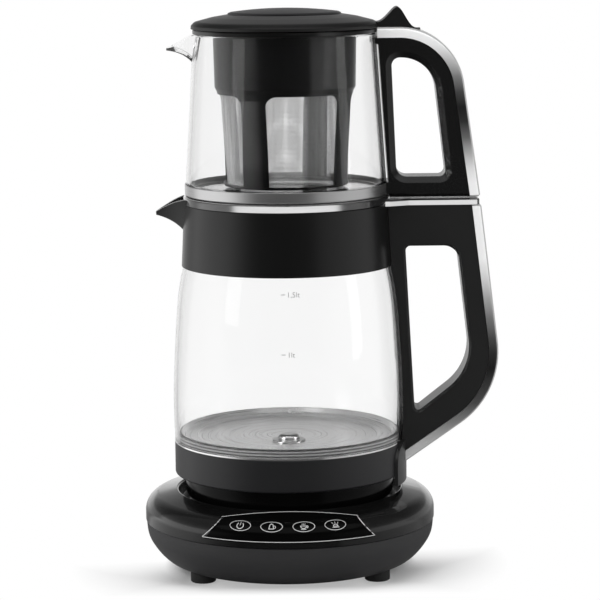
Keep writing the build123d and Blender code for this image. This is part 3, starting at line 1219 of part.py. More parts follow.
# ---------------------------------------------------------------------------
# Infuser: frame with four windows, and the mesh cup inside it
# ---------------------------------------------------------------------------
FRAME_WALL = 1.8
FRAME_STEP = 1.5
FRAME_STEP_Z = TEAPOT_Z + 65.2
FRAME_FOOT_RADIUS = INFUSER_RADIUS - 6.0
FRAME_Z = TEAPOT_FLOOR_Z + 1.5
FRAME_FLOOR = 1.2
FRAME_LIP = 5.9
WINDOW_Z = FRAME_Z + 5.3
WINDOW_TOP_Z = FRAME_STEP_Z - 1.0
WINDOW_HALF = 23.8
WINDOW_FOOT_HALF = 20.9
WINDOW_CORNER = 6.0
WINDOW_FACING = (-73, 17, 107, 197)
flange_top_z = FLANGE_Z + FLANGE_HEIGHT
tube_foot = INFUSER_RADIUS - 0.7
cup_top = tube_foot - FRAME_STEP
with BuildPart() as infuser_frame:
    with BuildSketch(Plane.XZ):
        with BuildLine():
            FilletPolyline(
                (INFUSER_RADIUS - FRAME_WALL, flange_top_z),
                (FLANGE_RADIUS, flange_top_z),
                (FLANGE_RADIUS, FLANGE_Z),
                (INFUSER_RADIUS, FLANGE_Z),
                (tube_foot, FRAME_STEP_Z + 3.0),
                (cup_top, FRAME_STEP_Z),
                (FRAME_FOOT_RADIUS, FRAME_Z),
                (FRAME_FOOT_RADIUS - FRAME_LIP, FRAME_Z),
                (FRAME_FOOT_RADIUS - FRAME_LIP, FRAME_Z + FRAME_FLOOR),
                (FRAME_FOOT_RADIUS - FRAME_WALL - SEAT_GAP, FRAME_Z + FRAME_FLOOR),
                (cup_top - FRAME_WALL, FRAME_STEP_Z),
                (tube_foot - FRAME_WALL, FRAME_STEP_Z + 3.0),
                radius=[0.5, 0.8, 0.5, 1.5, 0.5, 0.5, 0.8, 0, 0, 0, 0.5, 0.5],
                close=True,
            )
        make_face()
    revolve(axis=Axis.Z)
    for facing in WINDOW_FACING:
        with BuildSketch(radial_plane(facing)) as window:
            Polygon(
                (-WINDOW_FOOT_HALF, WINDOW_Z),
                (WINDOW_FOOT_HALF, WINDOW_Z),
                (WINDOW_HALF, WINDOW_TOP_Z),
                (-WINDOW_HALF, WINDOW_TOP_Z),
                align=None,
            )
            fillet(window.vertices(), WINDOW_CORNER)
        extrude(amount=2 * INFUSER_RADIUS, mode=Mode.SUBTRACT)
infuser_frame.part.label = "infuser_frame"
export_step(infuser_frame.part, "parts/infuser_frame.step")

MESH = 0.4
cup_foot_z = FRAME_Z + FRAME_FLOOR + SEAT_GAP
cup_foot = FRAME_FOOT_RADIUS - FRAME_WALL - 2 * SEAT_GAP
cup_mouth = cup_top - FRAME_WALL - SEAT_GAP
infuser_mesh = turned(
    [
        (0, cup_foot_z),
        (cup_foot, cup_foot_z),
        (cup_mouth, FRAME_STEP_Z),
        (cup_mouth - MESH, FRAME_STEP_Z),
        (cup_foot - MESH, cup_foot_z + MESH),
        (0, cup_foot_z + MESH),
    ]
)
infuser_mesh.part.label = "infuser_mesh"
export_step(infuser_mesh.part, "parts/infuser_mesh.step")

# ---------------------------------------------------------------------------
# Lid: shell with a thumb tab, cap and gasket
# ---------------------------------------------------------------------------
LID_TOP_Z = LID_Z + LID_HEIGHT
CAP_RADIUS = LID_RADIUS - 23.5
CAP_Z = LID_Z + 6.9
CAP_EDGE_Z = LID_Z + 8.9
SLEEVE_RADIUS = INFUSER_RADIUS - FRAME_WALL - 1.2
SLEEVE_Z = LID_Z - 8.0
GROOVE_Z = LID_Z - 6.4
GROOVE_HEIGHT = 2.4
GASKET_PROUD = 0.7
TAB_HALF = 10.0
TAB_REACH = LID_RADIUS + 26.2
TAB_PEAK = (LID_RADIUS + 11.6, LID_TOP_Z + 0.2)
TAB_ROUNDING = 5.0
with BuildPart() as handle_room:
    with BuildSketch(Plane.XZ) as room_section:
        with BuildLine():
            FilletPolyline(
                *grip_corners,
                (TEAPOT_RIM_RADIUS, GRIP_BOTTOM_Z),
                radius=[0, GRIP_ELBOW_RADIUS, 0, 0],
                close=True,
            )
        make_face()
        offset(amount=LIFT_GAP)
    extrude(amount=HANDLE_DEPTH, both=True)
lid_body = turned(
    [
        (LID_RADIUS, LID_Z),
        (LID_RADIUS - 0.2, LID_Z + 2.2),
        (LID_RADIUS - 2.3, LID_Z + 4.4),
        (LID_RADIUS - 13.1, LID_Z + 7.2),
        (CAP_RADIUS + SEAT_GAP, CAP_EDGE_Z),
        (CAP_RADIUS + SEAT_GAP, CAP_Z - SEAT_GAP),
        (0, CAP_Z - SEAT_GAP),
        (0, CAP_Z - PLASTIC_WALL),
        (SLEEVE_RADIUS - 2.0, CAP_Z - PLASTIC_WALL),
        (SLEEVE_RADIUS - 2.0, SLEEVE_Z),
        (SLEEVE_RADIUS, SLEEVE_Z),
        (SLEEVE_RADIUS, CAP_Z - PLASTIC_WALL - 0.8),
        (LID_RADIUS - 13.3, CAP_Z - PLASTIC_WALL + 0.4),
        (LID_RADIUS - 3.7, LID_Z + 2.4),
        (LID_RADIUS - 2.1, LID_Z),
    ],
    [0.4, 1.5, 4.0, 3.0, 0.5, 0, 0, 0, 0.8, 0.4, 0.4, 0, 0, 0, 0],
)
with BuildPart() as lid_shell:
    with BuildSketch(Plane.XZ):
        with BuildLine():
            Spline(
                (LID_RADIUS - 1.8, LID_Z + 3.6),
                (LID_RADIUS + 6.2, LID_Z + 8.4),
                TAB_PEAK,
                (LID_RADIUS + 16.9, LID_Z + 6.6),
                (TAB_REACH, LID_Z - 0.6),
            )
            Polyline(
                (TAB_REACH, LID_Z - 0.6),
                (TAB_REACH, LID_Z - 2.2),
                (LID_RADIUS - 1.8, LID_Z - 2.2),
                (LID_RADIUS - 1.8, LID_Z + 3.6),
            )
        make_face()
    extrude(amount=TAB_HALF, both=True)
    fillet(lid_shell.edges().filter_by(Axis.Z).group_by(Axis.X)[-1], TAB_ROUNDING)
    add(handle_room.part, mode=Mode.SUBTRACT)
    add(lid_body.part)
    with BuildSketch(Plane.XY.offset(GROOVE_Z)):
        Circle(SLEEVE_RADIUS + 1.0)
        Circle(SLEEVE_RADIUS - 0.8, mode=Mode.SUBTRACT)
    extrude(amount=GROOVE_HEIGHT, mode=Mode.SUBTRACT)
lid_shell.part.label = "lid_shell"
export_step(lid_shell.part, "parts/lid_shell.step")

lid_gasket = tube(
    SLEEVE_RADIUS - 0.8 + SEAT_GAP,
    SLEEVE_RADIUS + GASKET_PROUD,
    GROOVE_Z + SEAT_GAP,
    GROOVE_Z + GROOVE_HEIGHT - SEAT_GAP,
)
lid_gasket.part.label = "lid_gasket"
export_step(lid_gasket.part, "parts/lid_gasket.step")

CAP_STEP = 0.7
with BuildPart() as lid_cap:
    with BuildSketch(Plane.XZ):
        with BuildLine():
            Polyline(
                (0, LID_TOP_Z),
                (0, CAP_Z),
                (CAP_RADIUS, CAP_Z),
                (CAP_RADIUS, CAP_EDGE_Z + CAP_STEP),
                (CAP_RADIUS - 1.5, CAP_EDGE_Z + 2 * CAP_STEP),
            )
            TangentArc(
                (0, LID_TOP_Z), (CAP_RADIUS - 1.5, CAP_EDGE_Z + 2 * CAP_STEP), tangent=(1, 0)
            )
        make_face()
    revolve(axis=Axis.Z)
lid_cap.part.label = "lid_cap"
export_step(lid_cap.part, "parts/lid_cap.step")
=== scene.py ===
# %% [markdown]
# # A tea maker in glass, black plastic and steel
#
# A glass kettle stands on a round power base, and a glass teapot with a tea
# infuser stands on the kettle. The shapes come from a imported CAD model. This
# lesson gives every piece its finish, adds what the CAD model leaves out,
# and sets up a plain studio round it.

import math

import bmesh
import bpy
from mathutils import Matrix, Vector
from mathutils.bvhtree import BVHTree


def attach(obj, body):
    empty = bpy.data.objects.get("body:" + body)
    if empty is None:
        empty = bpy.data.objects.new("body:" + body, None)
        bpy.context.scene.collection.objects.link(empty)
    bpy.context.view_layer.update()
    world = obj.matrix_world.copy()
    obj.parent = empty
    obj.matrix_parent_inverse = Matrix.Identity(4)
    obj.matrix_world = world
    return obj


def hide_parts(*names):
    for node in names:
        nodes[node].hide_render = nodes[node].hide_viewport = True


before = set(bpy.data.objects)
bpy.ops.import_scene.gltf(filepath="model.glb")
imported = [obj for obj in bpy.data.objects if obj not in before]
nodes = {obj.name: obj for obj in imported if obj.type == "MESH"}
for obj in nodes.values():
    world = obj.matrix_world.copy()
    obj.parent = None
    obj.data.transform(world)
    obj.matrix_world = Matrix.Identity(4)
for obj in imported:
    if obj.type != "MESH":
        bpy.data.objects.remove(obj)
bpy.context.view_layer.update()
MM = 0.001

# %% [markdown]
# ## The camera
#
# A camera could be set by hand in the viewport. Numbers give the same picture
# on every run, so it is placed by numbers here. A long lens far away keeps
# upright edges upright and rims nearly level. The camera stands 1.65 m in
# front, a little above the lid, and looks slightly down. A small roll levels
# the base in the frame. Lengths are in metres and angles in radians.

# %% Camera
CAMERA_PLACE = (7.968 * MM, -1650 * MM, 420.26 * MM)
PITCH = 0.14893
ROLL = -0.01082
camera_data = bpy.data.cameras.new("camera")
camera_data.lens = 156.18
camera_data.sensor_width = 36.0
camera = bpy.data.objects.new("camera", camera_data)
bpy.context.scene.collection.objects.link(camera)
camera.matrix_world = (
    Matrix.Translation(CAMERA_PLACE)
    @ Matrix.Rotation(math.pi / 2 - PITCH, 4, "X")
    @ Matrix.Rotation(ROLL, 4, "Z")
)
bpy.context.scene.camera = camera
bpy.context.scene.view_settings.view_transform = "Standard"
print("camera at", tuple(round(v, 3) for v in camera.location))

# %% [markdown]
# ## Shader sums that read like sums
#
# A Blender material is a graph of nodes. Written out node by node, even
# `1 - mask` takes three lines. The class `Number` wraps one output socket and
# gives it Python's operators, so an expression adds its own Math nodes. The
# reflected forms, such as `__rsub__`, let a plain number stand on the left.


# %% A socket with operators
class Number:
    def __init__(self, graph, socket):
        self.graph = graph
        self.socket = socket

    def math(self, operation, *others):
        """One Math node on this number and the others."""
        values = dict(enumerate([self, *others]))
        return self.graph.node("ShaderNodeMath", {"operation": operation}, values)

    def __add__(self, other):
        return self.math("ADD", other)

    def __sub__(self, other):
        return self.math("SUBTRACT", other)

    def __mul__(self, other):
        return self.math("MULTIPLY", other)

    def __truediv__(self, other):
        return self.math("DIVIDE", other)

    def __gt__(self, other):
        return self.math("GREATER_THAN", other)

    def __rsub__(self, other):
        return self * -1 + other

    __radd__ = __add__
    __rmul__ = __mul__


# %% [markdown]
# The class `Graph` holds one node tree. Its method `node` makes any node: its
# type, its settings first, then the values or links of its sockets. The other
# methods are short names for what nearly every finish needs: a place on the
# piece, a noise, a ramp, a mix of two tones, and the three axes. A noise keeps
# its scale of 1 where the place that it reads is stretched instead.


# %% One node tree
class Graph:
    def __init__(self, tree):
        self.tree = tree
        self.tree.nodes.clear()

    def node(self, kind, settings=None, values=None, out=0):
        """A new node with its settings and its sockets' values or links; gives one output."""
        made = self.tree.nodes.new(kind)
        for name, value in (settings or {}).items():
            if name == "stops":
                self.ramp(made.color_ramp, value)
            else:
                setattr(made, name, value)
        for name, value in (values or {}).items():
            if isinstance(value, Number):
                self.tree.links.new(value.socket, made.inputs[name])
            else:
                made.inputs[name].default_value = value
        return Number(self, made.outputs[out]) if made.outputs else made

    def ramp(self, ramp, stops):
        while len(ramp.elements) < len(stops):
            ramp.elements.new(1.0)
        for element, (place, level) in zip(ramp.elements, stops):
            element.position = place
            element.color = (level, level, level, 1.0)

    def place(self, scale=(1, 1, 1)):
        """Where a point is on the object, in metres, each axis times its scale."""
        where = self.node("ShaderNodeTexCoord", out="Object")
        return self.node("ShaderNodeMapping", None, {"Vector": where, "Scale": scale})

    def noise(self, where, scale=1.0, detail=2.0, roughness=0.5):
        values = {"Vector": where, "Scale": scale, "Detail": detail, "Roughness": roughness}
        return self.node("ShaderNodeTexNoise", None, values)

    def levels(self, value, *stops):
        """A number bent through a ramp of (place, level) stops, places from 0 to 1."""
        return self.node("ShaderNodeValToRGB", {"stops": stops}, {"Fac": value})

    def tint(self, mask, dark, light):
        """A colour that goes from dark to light with the mask."""
        values = {0: mask, 6: (*dark, 1.0), 7: (*light, 1.0)}
        return self.node("ShaderNodeMix", {"data_type": "RGBA"}, values, out=2)

    def axes(self, where):
        """The three coordinates of a vector, each a number of its own."""
        return [self.node("ShaderNodeSeparateXYZ", None, {0: where}, out=axis) for axis in "XYZ"]


# %% [markdown]
# Most pieces of a tea maker are round, so two measures come back often: how
# far a point is from the upright axis, and on which side of it.


# %% Measures on a round piece
def reach_of(x, y):
    """How far a point is from the upright axis."""
    return (x * x + y * y).math("SQRT")


def side_of(x, y):
    """0 where a round piece ends on its low x side, 1 where it ends on the other."""
    return x / reach_of(x, y) * 0.5 + 0.5


# %% [markdown]
# ## A studio round the piece
#
# Black plastic and polished steel show little of their own: they show the
# room. The room could be built from real sheets and flags; a world that looks
# at the direction of the ray does the same with no objects in the way of
# other views.
#
# The same world has to look different to the camera and to a mirror. Light
# Path counts how often a ray was reflected before it came here, and two
# numbers follow from that.


# %% Kinds of rays
def bounces(g, kind):
    """How often the ray was reflected by Glossy or by Diffuse surfaces."""
    return g.node("ShaderNodeLightPath", out=f"{kind} Depth")


def straight(g):
    """1 for the camera's rays, also through glass, and 0 once they were reflected."""
    return 1 - (bounces(g, "Glossy") + bounces(g, "Diffuse") > 0.5)


def mirrored(g):
    """1 for rays that come off a shiny surface, also through glass."""
    return (bounces(g, "Glossy") > 0.5) * (1 - (bounces(g, "Diffuse") > 0.5))


# %% [markdown]
# A product studio has a dark end behind the camera and white sheets at both
# sides and behind. Going round the room from front to back, the ramps say how
# bright it is: one ramp for the left half and one for the right.

# %% The room in a mirror
SHEET_LEVEL = 1.1


def room(g, across, depth):
    """How bright the room is round the object, dark in front and white at the sides."""
    turn = side_of(depth, across)
    left = g.levels(
        turn,
        (0.0, 0.08),
        (0.08, 0.09),
        (0.146, 0.26),
        (0.228, 0.65),
        (0.313, 0.96),
        (0.74, 1.0),
        (0.80, 0.42),
        (0.90, 0.48),
        (1.0, 0.95),
    )
    right = g.levels(
        turn,
        (0.0, 0.08),
        (0.067, 0.10),
        (0.09, 0.34),
        (0.289, 0.52),
        (0.5, 0.60),
        (0.60, 0.58),
        (0.66, 0.40),
        (0.90, 0.44),
        (1.0, 0.95),
    )
    on_right = across > 0.0
    return left * (1 - on_right) * SHEET_LEVEL + right * on_right * SHEET_LEVEL


# %% [markdown]
# The walls of that room get darker upwards, and one more sheet hangs over the
# front. Only glossy rays see the room. Straight lines of sight and rays
# through the glass see plain white, and everything else gets an even, soft
# light.

# %% World
WHITE = (1, 1, 1, 1)
EVEN_LIGHT = 0.55


def make_world():
    world = bpy.data.worlds.new("studio")
    bpy.context.scene.world = world
    world.use_nodes = True
    g = Graph(world.node_tree)
    across, depth, height = g.axes(g.node("ShaderNodeTexCoord", out="Generated"))
    fall = g.levels(height, (0.16, 1.0), (0.23, 0.42), (0.39, 0.24), (0.6, 0.16))
    above = g.levels(height, (0.42, 0.0), (0.54, 1.0), (0.88, 1.0), (0.96, 0.0))
    above_wide = g.levels(across.math("ABSOLUTE"), (0.70, 1.0), (0.78, 0.0))
    above_front = g.levels(depth * -1, (0.12, 0.0), (0.24, 1.0))
    walls = (room(g, across, depth) * fall).math("MAXIMUM", above * above_wide * above_front)
    direct, mirror = straight(g), mirrored(g)
    strength = direct + mirror * walls + (1 - direct - mirror) * EVEN_LIGHT
    light = g.node("ShaderNodeBackground", None, {"Color": WHITE, "Strength": strength})
    g.node("ShaderNodeOutputWorld", None, {"Surface": light})
    print("world nodes:", len(world.node_tree.nodes))


make_world()


# %% [markdown]
# ## Lamps
#
# The world alone would light the shapes flat. Three soft boxes model them: a
# large one on the left, a weaker one on the right, and a broad one overhead.
# They are hidden from glossy rays, because the white sheets of the world
# already stand for them there, and two highlights for one lamp would look
# false.

# %% Lamps
LAMP_AIM = Vector((0, 0, 0.18))


def soft_box(name, place, size, power):
    data = bpy.data.lights.new(name, "AREA")
    data.shape = "RECTANGLE"
    data.size, data.size_y = size
    data.energy = power
    lamp = bpy.data.objects.new(name, data)
    turn = (LAMP_AIM - Vector(place)).to_track_quat("-Z", "Y").to_matrix().to_4x4()
    lamp.matrix_world = Matrix.Translation(place) @ turn
    lamp.visible_glossy = False
    bpy.context.scene.collection.objects.link(lamp)


soft_box("soft_box_left", (-1.3, -0.75, 0.75), (0.5, 1.3), 11.0)
soft_box("soft_box_right", (1.3, -0.35, 0.6), (0.35, 1.2), 7.0)
soft_box("soft_box_top", (0.0, -0.25, 1.5), (1.2, 0.9), 9.0)


# %% [markdown]
# ## Floor
#
# The floor is a wide disc of pale, matt paint. Near the object it is lit like
# any paint, so that it keeps the shadow. Further out it fades to plain white
# for the camera. A floor that is white all over would lose the shadow, and one
# that is paint all over would end in a grey horizon.
#
# The fade is the brightest of four masks: far from the object, ahead of it,
# in the gap between the front feet, and beside it. A ramp reads numbers from
# 0 to 1 only, so the distances in metres are multiplied first.


# %% How the floor fades
def brightest(first, *others):
    for other in others:
        first = first.math("MAXIMUM", other)
    return first


def floor_fade(g, across, depth, reach):
    """0 where the paint keeps its shadow, 1 where the camera sees plain white."""
    far = g.levels(reach * 5, (0.47, 0.05), (0.60, 0.55), (0.71, 1.0))
    ahead = g.levels(depth * -10, (0.50, 0.0), (0.57, 0.25), (0.70, 0.62), (0.82, 1.0))
    gap = g.levels(across.math("ABSOLUTE") * 10, (0.45, 0.40), (0.70, 0.0))
    gap_ahead = gap * g.levels(depth * -10, (0.2, 0.0), (0.35, 1.0))
    to_back = (depth - across * 0.14) * 10 + 0.5
    stops = [(0.15, 0.0), (0.30, 0.25), (0.476, 0.65), (0.574, 0.82), (0.70, 1.0)]
    beside = g.levels(to_back, *stops) * g.levels(reach * 5, (0.35, 0.0), (0.41, 1.0))
    return brightest(far, ahead, gap_ahead, beside)


# %% [markdown]
# For a mirror the floor is bright as well, but dark towards the front, where
# the room behind the camera is dark.


# %% Floor
def floor_paint():
    paint = bpy.data.materials.new("floor_paint")
    paint.use_nodes = True
    g = Graph(paint.node_tree)
    where = g.place()
    across, depth, _ = g.axes(where)
    reach = g.node("ShaderNodeVectorMath", {"operation": "LENGTH"}, {0: where}, out="Value")
    fade = floor_fade(g, across, depth, reach)
    mirror_level = room(g, across, depth) * g.levels(reach, (0.12, 0.35), (0.45, 1.0))
    grain = g.tint(g.noise(where, scale=900.0), (0.8,) * 3, (0.84,) * 3)
    matt = g.node("ShaderNodeBsdfDiffuse", None, {"Color": grain})
    white = g.node("ShaderNodeEmission", None, {"Color": WHITE, "Strength": 1.0})
    mirror = g.node("ShaderNodeEmission", None, {"Color": WHITE, "Strength": mirror_level})
    seen = g.node("ShaderNodeMixShader", None, {0: fade * straight(g), 1: matt, 2: white})
    surface = g.node("ShaderNodeMixShader", None, {0: mirrored(g), 1: seen, 2: mirror})
    g.node("ShaderNodeOutputMaterial", None, {"Surface": surface})
    return paint


FLOOR_RADIUS = 6.0


def make_floor():
    bm = bmesh.new()
    bmesh.ops.create_circle(bm, cap_ends=True, segments=96, radius=FLOOR_RADIUS)
    mesh = bpy.data.meshes.new("floor")
    bm.to_mesh(mesh)
    bm.free()
    mesh.materials.append(floor_paint())
    floor = bpy.data.objects.new("floor", mesh)
    bpy.context.scene.collection.objects.link(floor)


make_floor()
print("floor radius in metres:", FLOOR_RADIUS)

# %% [markdown]
# ## Finishes
#
# Every finish starts from one Principled shader. What is the same all over a
# piece is set on the shader's own sockets. What varies goes into the base
# colour, the roughness or the bump, and follows the piece's own coordinates,
# so that it stays put when the piece moves. Images could give the same
# detail; noises need no files and stay sharp at any distance.


# %% A finish
class Finish(Graph):
    def __init__(self, name, **constants):
        self.material = bpy.data.materials.new(name)
        self.material.use_nodes = True
        super().__init__(self.material.node_tree)
        self.shader = self.tree.nodes.new("ShaderNodeBsdfPrincipled")
        output = self.tree.nodes.new("ShaderNodeOutputMaterial")
        self.tree.links.new(self.shader.outputs[0], output.inputs["Surface"])
        for socket, value in constants.items():
            self.set(socket.replace("_", " ").title().replace("Ior", "IOR"), value)

    def set(self, name, value):
        """Links a socket of the shader, or sets its number or colour."""
        if isinstance(value, Number):
            self.tree.links.new(value.socket, self.shader.inputs[name])
        else:
            self.shader.inputs[name].default_value = value

    def bump(self, height, strength, depth):
        values = {"Strength": strength, "Distance": depth, "Height": height}
        self.set("Normal", self.node("ShaderNodeBump", None, values))


def wear(finish, *names):
    """Puts a finish on CAD nodes."""
    for name in names:
        nodes[name].data.materials.clear()
        nodes[name].data.materials.append(finish.material)
    print(finish.material.name, "on", ", ".join(names))


# %% [markdown]
# ### Moulded plastic
#
# The mould of a matt part is spark eroded, which leaves a fine, even grain.
# Two noises do for it: a very fine one is the grain in the bump, and a slow
# one lets the sheen drift a little over a large part.

# %% Moulded plastics
GRAIN = 2600.0
GRAIN_DEPTH = 0.06 * MM


def moulded(name, dark, light, roughness, grain=0.35):
    f = Finish(name, ior=1.5)
    where = f.place()
    fine = f.noise(where, scale=GRAIN, detail=3.0)
    slow = f.noise(where, scale=28.0, detail=3.0)
    f.set("Base Color", f.tint(slow * 0.6 + fine * 0.4, dark, light))
    f.set("Roughness", slow * 0.10 + fine * 0.08 + (roughness - 0.09))
    f.bump(fine, strength=grain, depth=GRAIN_DEPTH)
    return f


shell_grey = moulded("shell_grey", (0.023, 0.023, 0.024), (0.030, 0.030, 0.031), 0.55)
cap_grey = moulded("cap_grey", (0.009, 0.009, 0.010), (0.013, 0.013, 0.014), 0.44)
band_black = moulded("band_black", (0.008, 0.008, 0.009), (0.012, 0.012, 0.013), 0.42)
satin_black = moulded("satin_black", (0.001,) * 3, (0.002,) * 3, 0.30, 0.15)
grip_black = moulded("grip_black", (0.003,) * 3, (0.005,) * 3, 0.26, 0.15)
kettle_grip_black = moulded("kettle_grip_black", (0.010,) * 3, (0.014,) * 3, 0.32, 0.15)
relay_blue = moulded("relay_blue", (0.02, 0.10, 0.36), (0.03, 0.13, 0.44), 0.45)
connector_green = moulded("connector_green", (0.01, 0.22, 0.08), (0.02, 0.28, 0.10), 0.45)
wear(shell_grey, "base_bottom_shell")
wear(cap_grey, "lid_cap")
wear(band_black, "kettle_band")
wear(satin_black, "kettle_collar", "power_connector", "kettle_socket", "thermal_control", "buzzer")
wear(grip_black, "teapot_handle")
wear(kettle_grip_black, "kettle_handle")
wear(relay_blue, "relays")
wear(connector_green, "terminal_block")


# %% [markdown]
# ### Lid
#
# The lid is moulded in one piece. Its colour is painted light and shade:
# a painted highlight runs in a thin ring along the step round the cap, the
# broad upper face is paler with a painted sheen, and the rim is darkened in
# painted shade. Painting that by hand would take a texture; the distance from
# the middle gives it in one ramp.

# %% Lid
lid_grey = Finish("lid_grey", ior=1.5)
lid_place = lid_grey.place()
lid_x, lid_y, _ = lid_grey.axes(lid_place)
# Painted light and shade: a painted highlight ring round the cap, a painted sheen on the upper
# face and painted shade on the rim.
lid_painted_light = lid_grey.levels(
    reach_of(lid_x, lid_y) * 10,
    (0.355, 0.012),
    (0.365, 0.055),
    (0.385, 0.055),
    (0.40, 0.034),
    (0.53, 0.030),
    (0.58, 0.004),
)
lid_grain = lid_grey.noise(lid_place, scale=GRAIN, detail=3.0)
lid_grey.set("Base Color", lid_painted_light * (lid_grain * 0.4 + 0.8))
lid_grey.set("Roughness", lid_grain * 0.1 + 0.38)
lid_grey.bump(lid_grain, strength=0.35, depth=GRAIN_DEPTH)
wear(lid_grey, "lid_shell")


# %% [markdown]
# ### Polished plastic
#
# The dome, the skirt and the panel's film come out of polished moulds. They
# have no grain, but nothing that is touched stays clean: a cloudy noise makes
# the roughness uneven, like faint smears, and a wide, shallow bump bends the
# reflections a little, as real moulded walls do. A thin clear coat adds the
# hard highlight of the dome. The skirt and the film are duller, so they have
# no coat and a lower index of refraction.


# %% Polished plastics
def polished(name, dark, light, roughness=0.10, gloss=1.5, coat=0.4):
    f = Finish(name, ior=gloss, coat_weight=coat, coat_roughness=0.04)
    where = f.place()
    smears = f.noise(where, scale=60.0, detail=6.0, roughness=0.65)
    f.set("Base Color", f.tint(smears, dark, light))
    f.set("Roughness", f.levels(smears, (0.35, roughness), (0.75, roughness + 0.08)))
    f.bump(f.noise(where, scale=35.0), strength=0.05, depth=0.4 * MM)
    return f


gloss_black = polished("gloss_black", (0.002,) * 3, (0.004,) * 3)
shrink_sleeve = polished("shrink_sleeve", (0.01, 0.01, 0.04), (0.02, 0.02, 0.07), 0.25)
panel_film = polished("panel_film", (0.001,) * 3, (0.002,) * 3, 0.06, gloss=1.16, coat=0.0)
skirt_black = polished("skirt_black", (0.001,) * 3, (0.002,) * 3, 0.12, gloss=1.25, coat=0.0)
wear(gloss_black, "base_top_cover")
wear(skirt_black, "kettle_lower_cover")
wear(panel_film, "control_panel")
wear(shrink_sleeve, "smoothing_capacitor")


# %% [markdown]
# ### Infuser
#
# The infuser's tube is moulded from smoke-tinted plastic. Light that enters
# at one side of the tube comes out again near its edges, so that the wall is
# lighter there than in the middle. A volume inside the plastic could do that,
# but it is slow and noisy; here the tone follows the side of the tube, 0 at
# the far left and 1 at the far right. The left post has a window on each
# side, so it takes in more light and is lighter than the wall above it.

# %% Smoke-tinted plastic of the infuser
POSTS_TOP = 303 * MM
smoke = Finish("smoke_plastic", ior=1.27)
smoke_place = smoke.place()
smoke_cloud = smoke.noise(smoke_place, scale=90.0, detail=4.0)
smoke_x, smoke_y, smoke_z = smoke.axes(smoke_place)
smoke_side = side_of(smoke_x, smoke_y)
wall_tone = smoke.levels(
    smoke_side,
    (0.0, 0.085),
    (0.045, 0.07),
    (0.09, 0.05),
    (0.133, 0.02),
    (0.178, 0.003),
    (0.50, 0.004),
    (0.66, 0.006),
    (0.70, 0.032),
    (0.75, 0.03),
    (0.82, 0.006),
    (0.90, 0.006),
    (0.955, 0.03),
)
post_tone = smoke.levels(
    smoke_side,
    (0.06, 0.0),
    (0.09, 0.055),
    (0.17, 0.078),
    (0.24, 0.052),
    (0.29, 0.030),
    (0.33, 0.0),
)
smoke_tone = wall_tone + post_tone * (POSTS_TOP - smoke_z > 0.0)
smoke.set("Base Color", smoke_tone * (smoke_cloud * 0.4 + 0.8))
smoke.set("Roughness", smoke_cloud * 0.1 + 0.26)
smoke.bump(smoke.noise(smoke_place, scale=1500.0), strength=0.2, depth=0.04 * MM)
wear(smoke, "infuser_frame")

# %% [markdown]
# The tube's four windows run right down to the foot plate, so that the last
# drop drains. The CAD frame has a taller foot ring there. A CAD mesh is never
# changed, so a copy of it stands in: its loose triangles are merged, and the
# lower edges of the windows move down with one transform, which presses their
# rounded corners square as well. Cutting the windows anew with a boolean
# would leave a much rougher mesh.

# %% Tube with deep windows
WINDOW_FOOT = 252.7 * MM
WINDOW_MARGIN = 0.3 * MM
CORNERS_TOP = 258.7 * MM
NEW_FOOT = 249.1 * MM
CORNER_SQUASH = 0.06
SAME_POINT = 0.001 * MM
SHARP_EDGE = math.radians(30)


def make_deep_windows():
    bm = bmesh.new()
    bm.from_mesh(nodes["infuser_frame"].data)
    bmesh.ops.remove_doubles(bm, verts=bm.verts, dist=SAME_POINT)
    low = [v for v in bm.verts if WINDOW_FOOT - WINDOW_MARGIN < v.co.z < CORNERS_TOP]
    up = Matrix.Translation((0, 0, NEW_FOOT))
    squash = Matrix.Diagonal((1, 1, CORNER_SQUASH, 1))
    down = Matrix.Translation((0, 0, -WINDOW_FOOT))
    bmesh.ops.transform(bm, matrix=up @ squash @ down, verts=low)
    for face in bm.faces:
        face.smooth = True
    mesh = bpy.data.meshes.new("infuser_tube")
    bm.to_mesh(mesh)
    bm.free()
    mesh.set_sharp_from_angle(angle=SHARP_EDGE)
    mesh.materials.append(smoke.material)
    tube = bpy.data.objects.new("infuser_tube", mesh)
    bpy.context.scene.collection.objects.link(tube)
    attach(tube, "infuser")
    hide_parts("infuser_frame")
    print("window points moved:", len(low), "faces:", len(mesh.polygons))


make_deep_windows()

# %% [markdown]
# ### Steel
#
# Brushing leaves fine lines one way. A noise that is stretched hard along the
# brushing and squeezed across it gives such lines. The teapot's band is
# brushed round and round, so its lines lie level. Plated screws, brass
# contacts and raw aluminium come from the same recipe with other tones and
# other stretches.


# %% Brushed metal
def brushed(name, stretch, dark, light, roughness):
    f = Finish(name, metallic=1.0)
    lines = f.noise(f.place(stretch), detail=4.0, roughness=0.6)
    cloud = f.noise(f.place(), scale=22.0, detail=3.0)
    f.set("Base Color", f.tint(lines * 0.6 + cloud * 0.4, dark, light))
    f.set("Roughness", lines * 0.16 + (roughness - 0.08))
    f.bump(lines, strength=0.35, depth=0.02 * MM)
    return f


